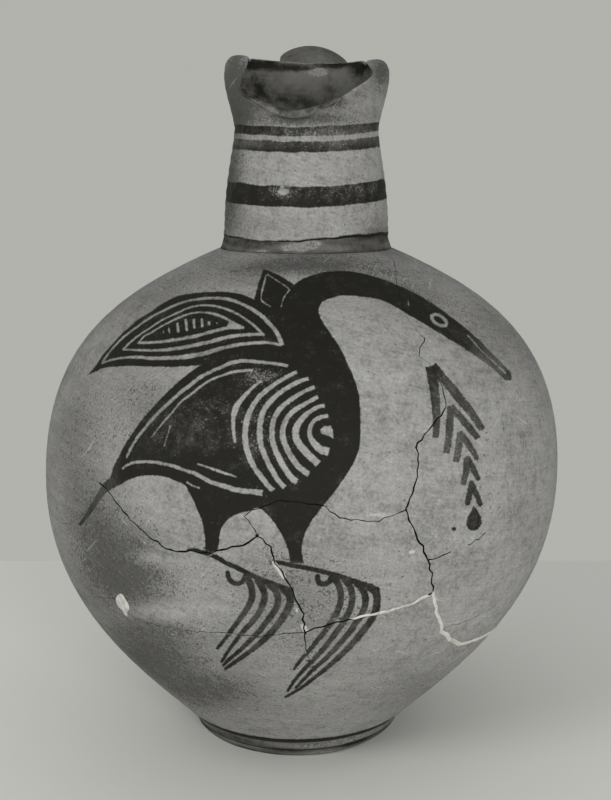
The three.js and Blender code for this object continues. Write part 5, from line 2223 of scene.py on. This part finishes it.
@dataclass
class Studio:
    """Pale floor, plain background and soft lamps from the front."""

    view: PhotoView
    floor_tone: Colour = (0.78, 0.78, 0.736, 1.0)
    wall_tone: Colour = (0.442, 0.448, 0.416, 1.0)
    fill_tone: Colour = (1.0, 1.0, 1.0, 1.0)
    fill: float = 0.14
    fill_overhead: float = 0.57
    fill_behind: float = 1.3
    floor_end: float = 0.196
    floor_size: float = 6.0
    lamps: tuple[Lamp, ...] = (
        Lamp("key_lamp", (0.46, -1.36, 0.26), (0, 0, 0.12), 0.7, 12.6),
        Lamp("left_lamp", (-1.08, -0.9, 0.68), (0, 0, 0.12), 0.6, 7.2),
    )

    def build(self) -> None:
        """Makes the floor, the background, the lamps and the camera."""
        bpy.ops.object.select_all(action="DESELECT")
        bpy.ops.mesh.primitive_plane_add(size=self.floor_size)
        floor = Bench.added("studio_floor")
        points = Bench.points(floor)
        points[:, 1] += (self.floor_end - self.floor_size / 2) / MM
        Bench.move(floor, points)
        paper = bpy.data.materials.new("studio_floor_paper")
        shader = Shader(paper)
        inputs = {"Base Color": self.floor_tone, "Roughness": 0.95, "Specular IOR Level": 0.1}
        surface = shader.node("ShaderNodeBsdfPrincipled", inputs=inputs)
        shader.node("ShaderNodeOutputMaterial", inputs={"Surface": surface})
        floor.data.materials.append(paper)
        self.set_background()
        for lamp in self.lamps:
            lamp.light()
        self.view.set_camera()
        bpy.context.scene.view_settings.view_transform = "Standard"

    def set_background(self) -> None:
        """Shows the plain background to the camera and fills the shadows, most from overhead and behind."""
        world = bpy.data.worlds.new("studio")
        bpy.context.scene.world = world
        shader = Shader(world)
        direction = shader.node("ShaderNodeTexCoord", output="Generated")
        up = shader.node("ShaderNodeSeparateXYZ", inputs={"Vector": direction}, output="Z")
        back = shader.node("ShaderNodeSeparateXYZ", inputs={"Vector": direction}, output="Y")
        behind = shader.eased(back, 0.55, 0.9) * shader.eased(up, 0.45, 0.15)
        overhead = (self.fill_overhead - self.fill) * shader.eased(up, 0.0, 1.0)
        strength = self.fill + overhead + self.fill_behind * behind
        rays = ("Is Camera Ray", "Is Glossy Ray", "Is Transmission Ray")
        camera, gloss, glass = (shader.node("ShaderNodeLightPath", output=ray) for ray in rays)
        seen = camera + gloss + glass
        fill = shader.node("ShaderNodeBackground", inputs={"Color": self.fill_tone, "Strength": strength})
        shown = shader.node("ShaderNodeBackground", inputs={"Color": self.wall_tone})
        either = shader.node("ShaderNodeMixShader", inputs={0: seen, 1: fill, 2: shown})
        shader.node("ShaderNodeOutputWorld", inputs={"Surface": either})


def main() -> None:
    """Builds the jug's pieces in order, then the studio."""
    logging.basicConfig(level=logging.INFO, format="%(name)s: %(message)s")
    view = PhotoView()
    clay = ClayFinish("fired_clay").material()
    painted = ClayFinish("slip_painted_clay").material()
    plaster = PlasterFinish("plaster").material()
    body = Body(view, Figure())
    body.build(clay, plaster)
    Foot().build(painted)
    Collar(view).build(painted)
    neck = Neck(view)
    neck.build(clay)
    Handle(body, neck).build(clay)
    Studio(view).build()


if __name__ == "__main__":
    main()
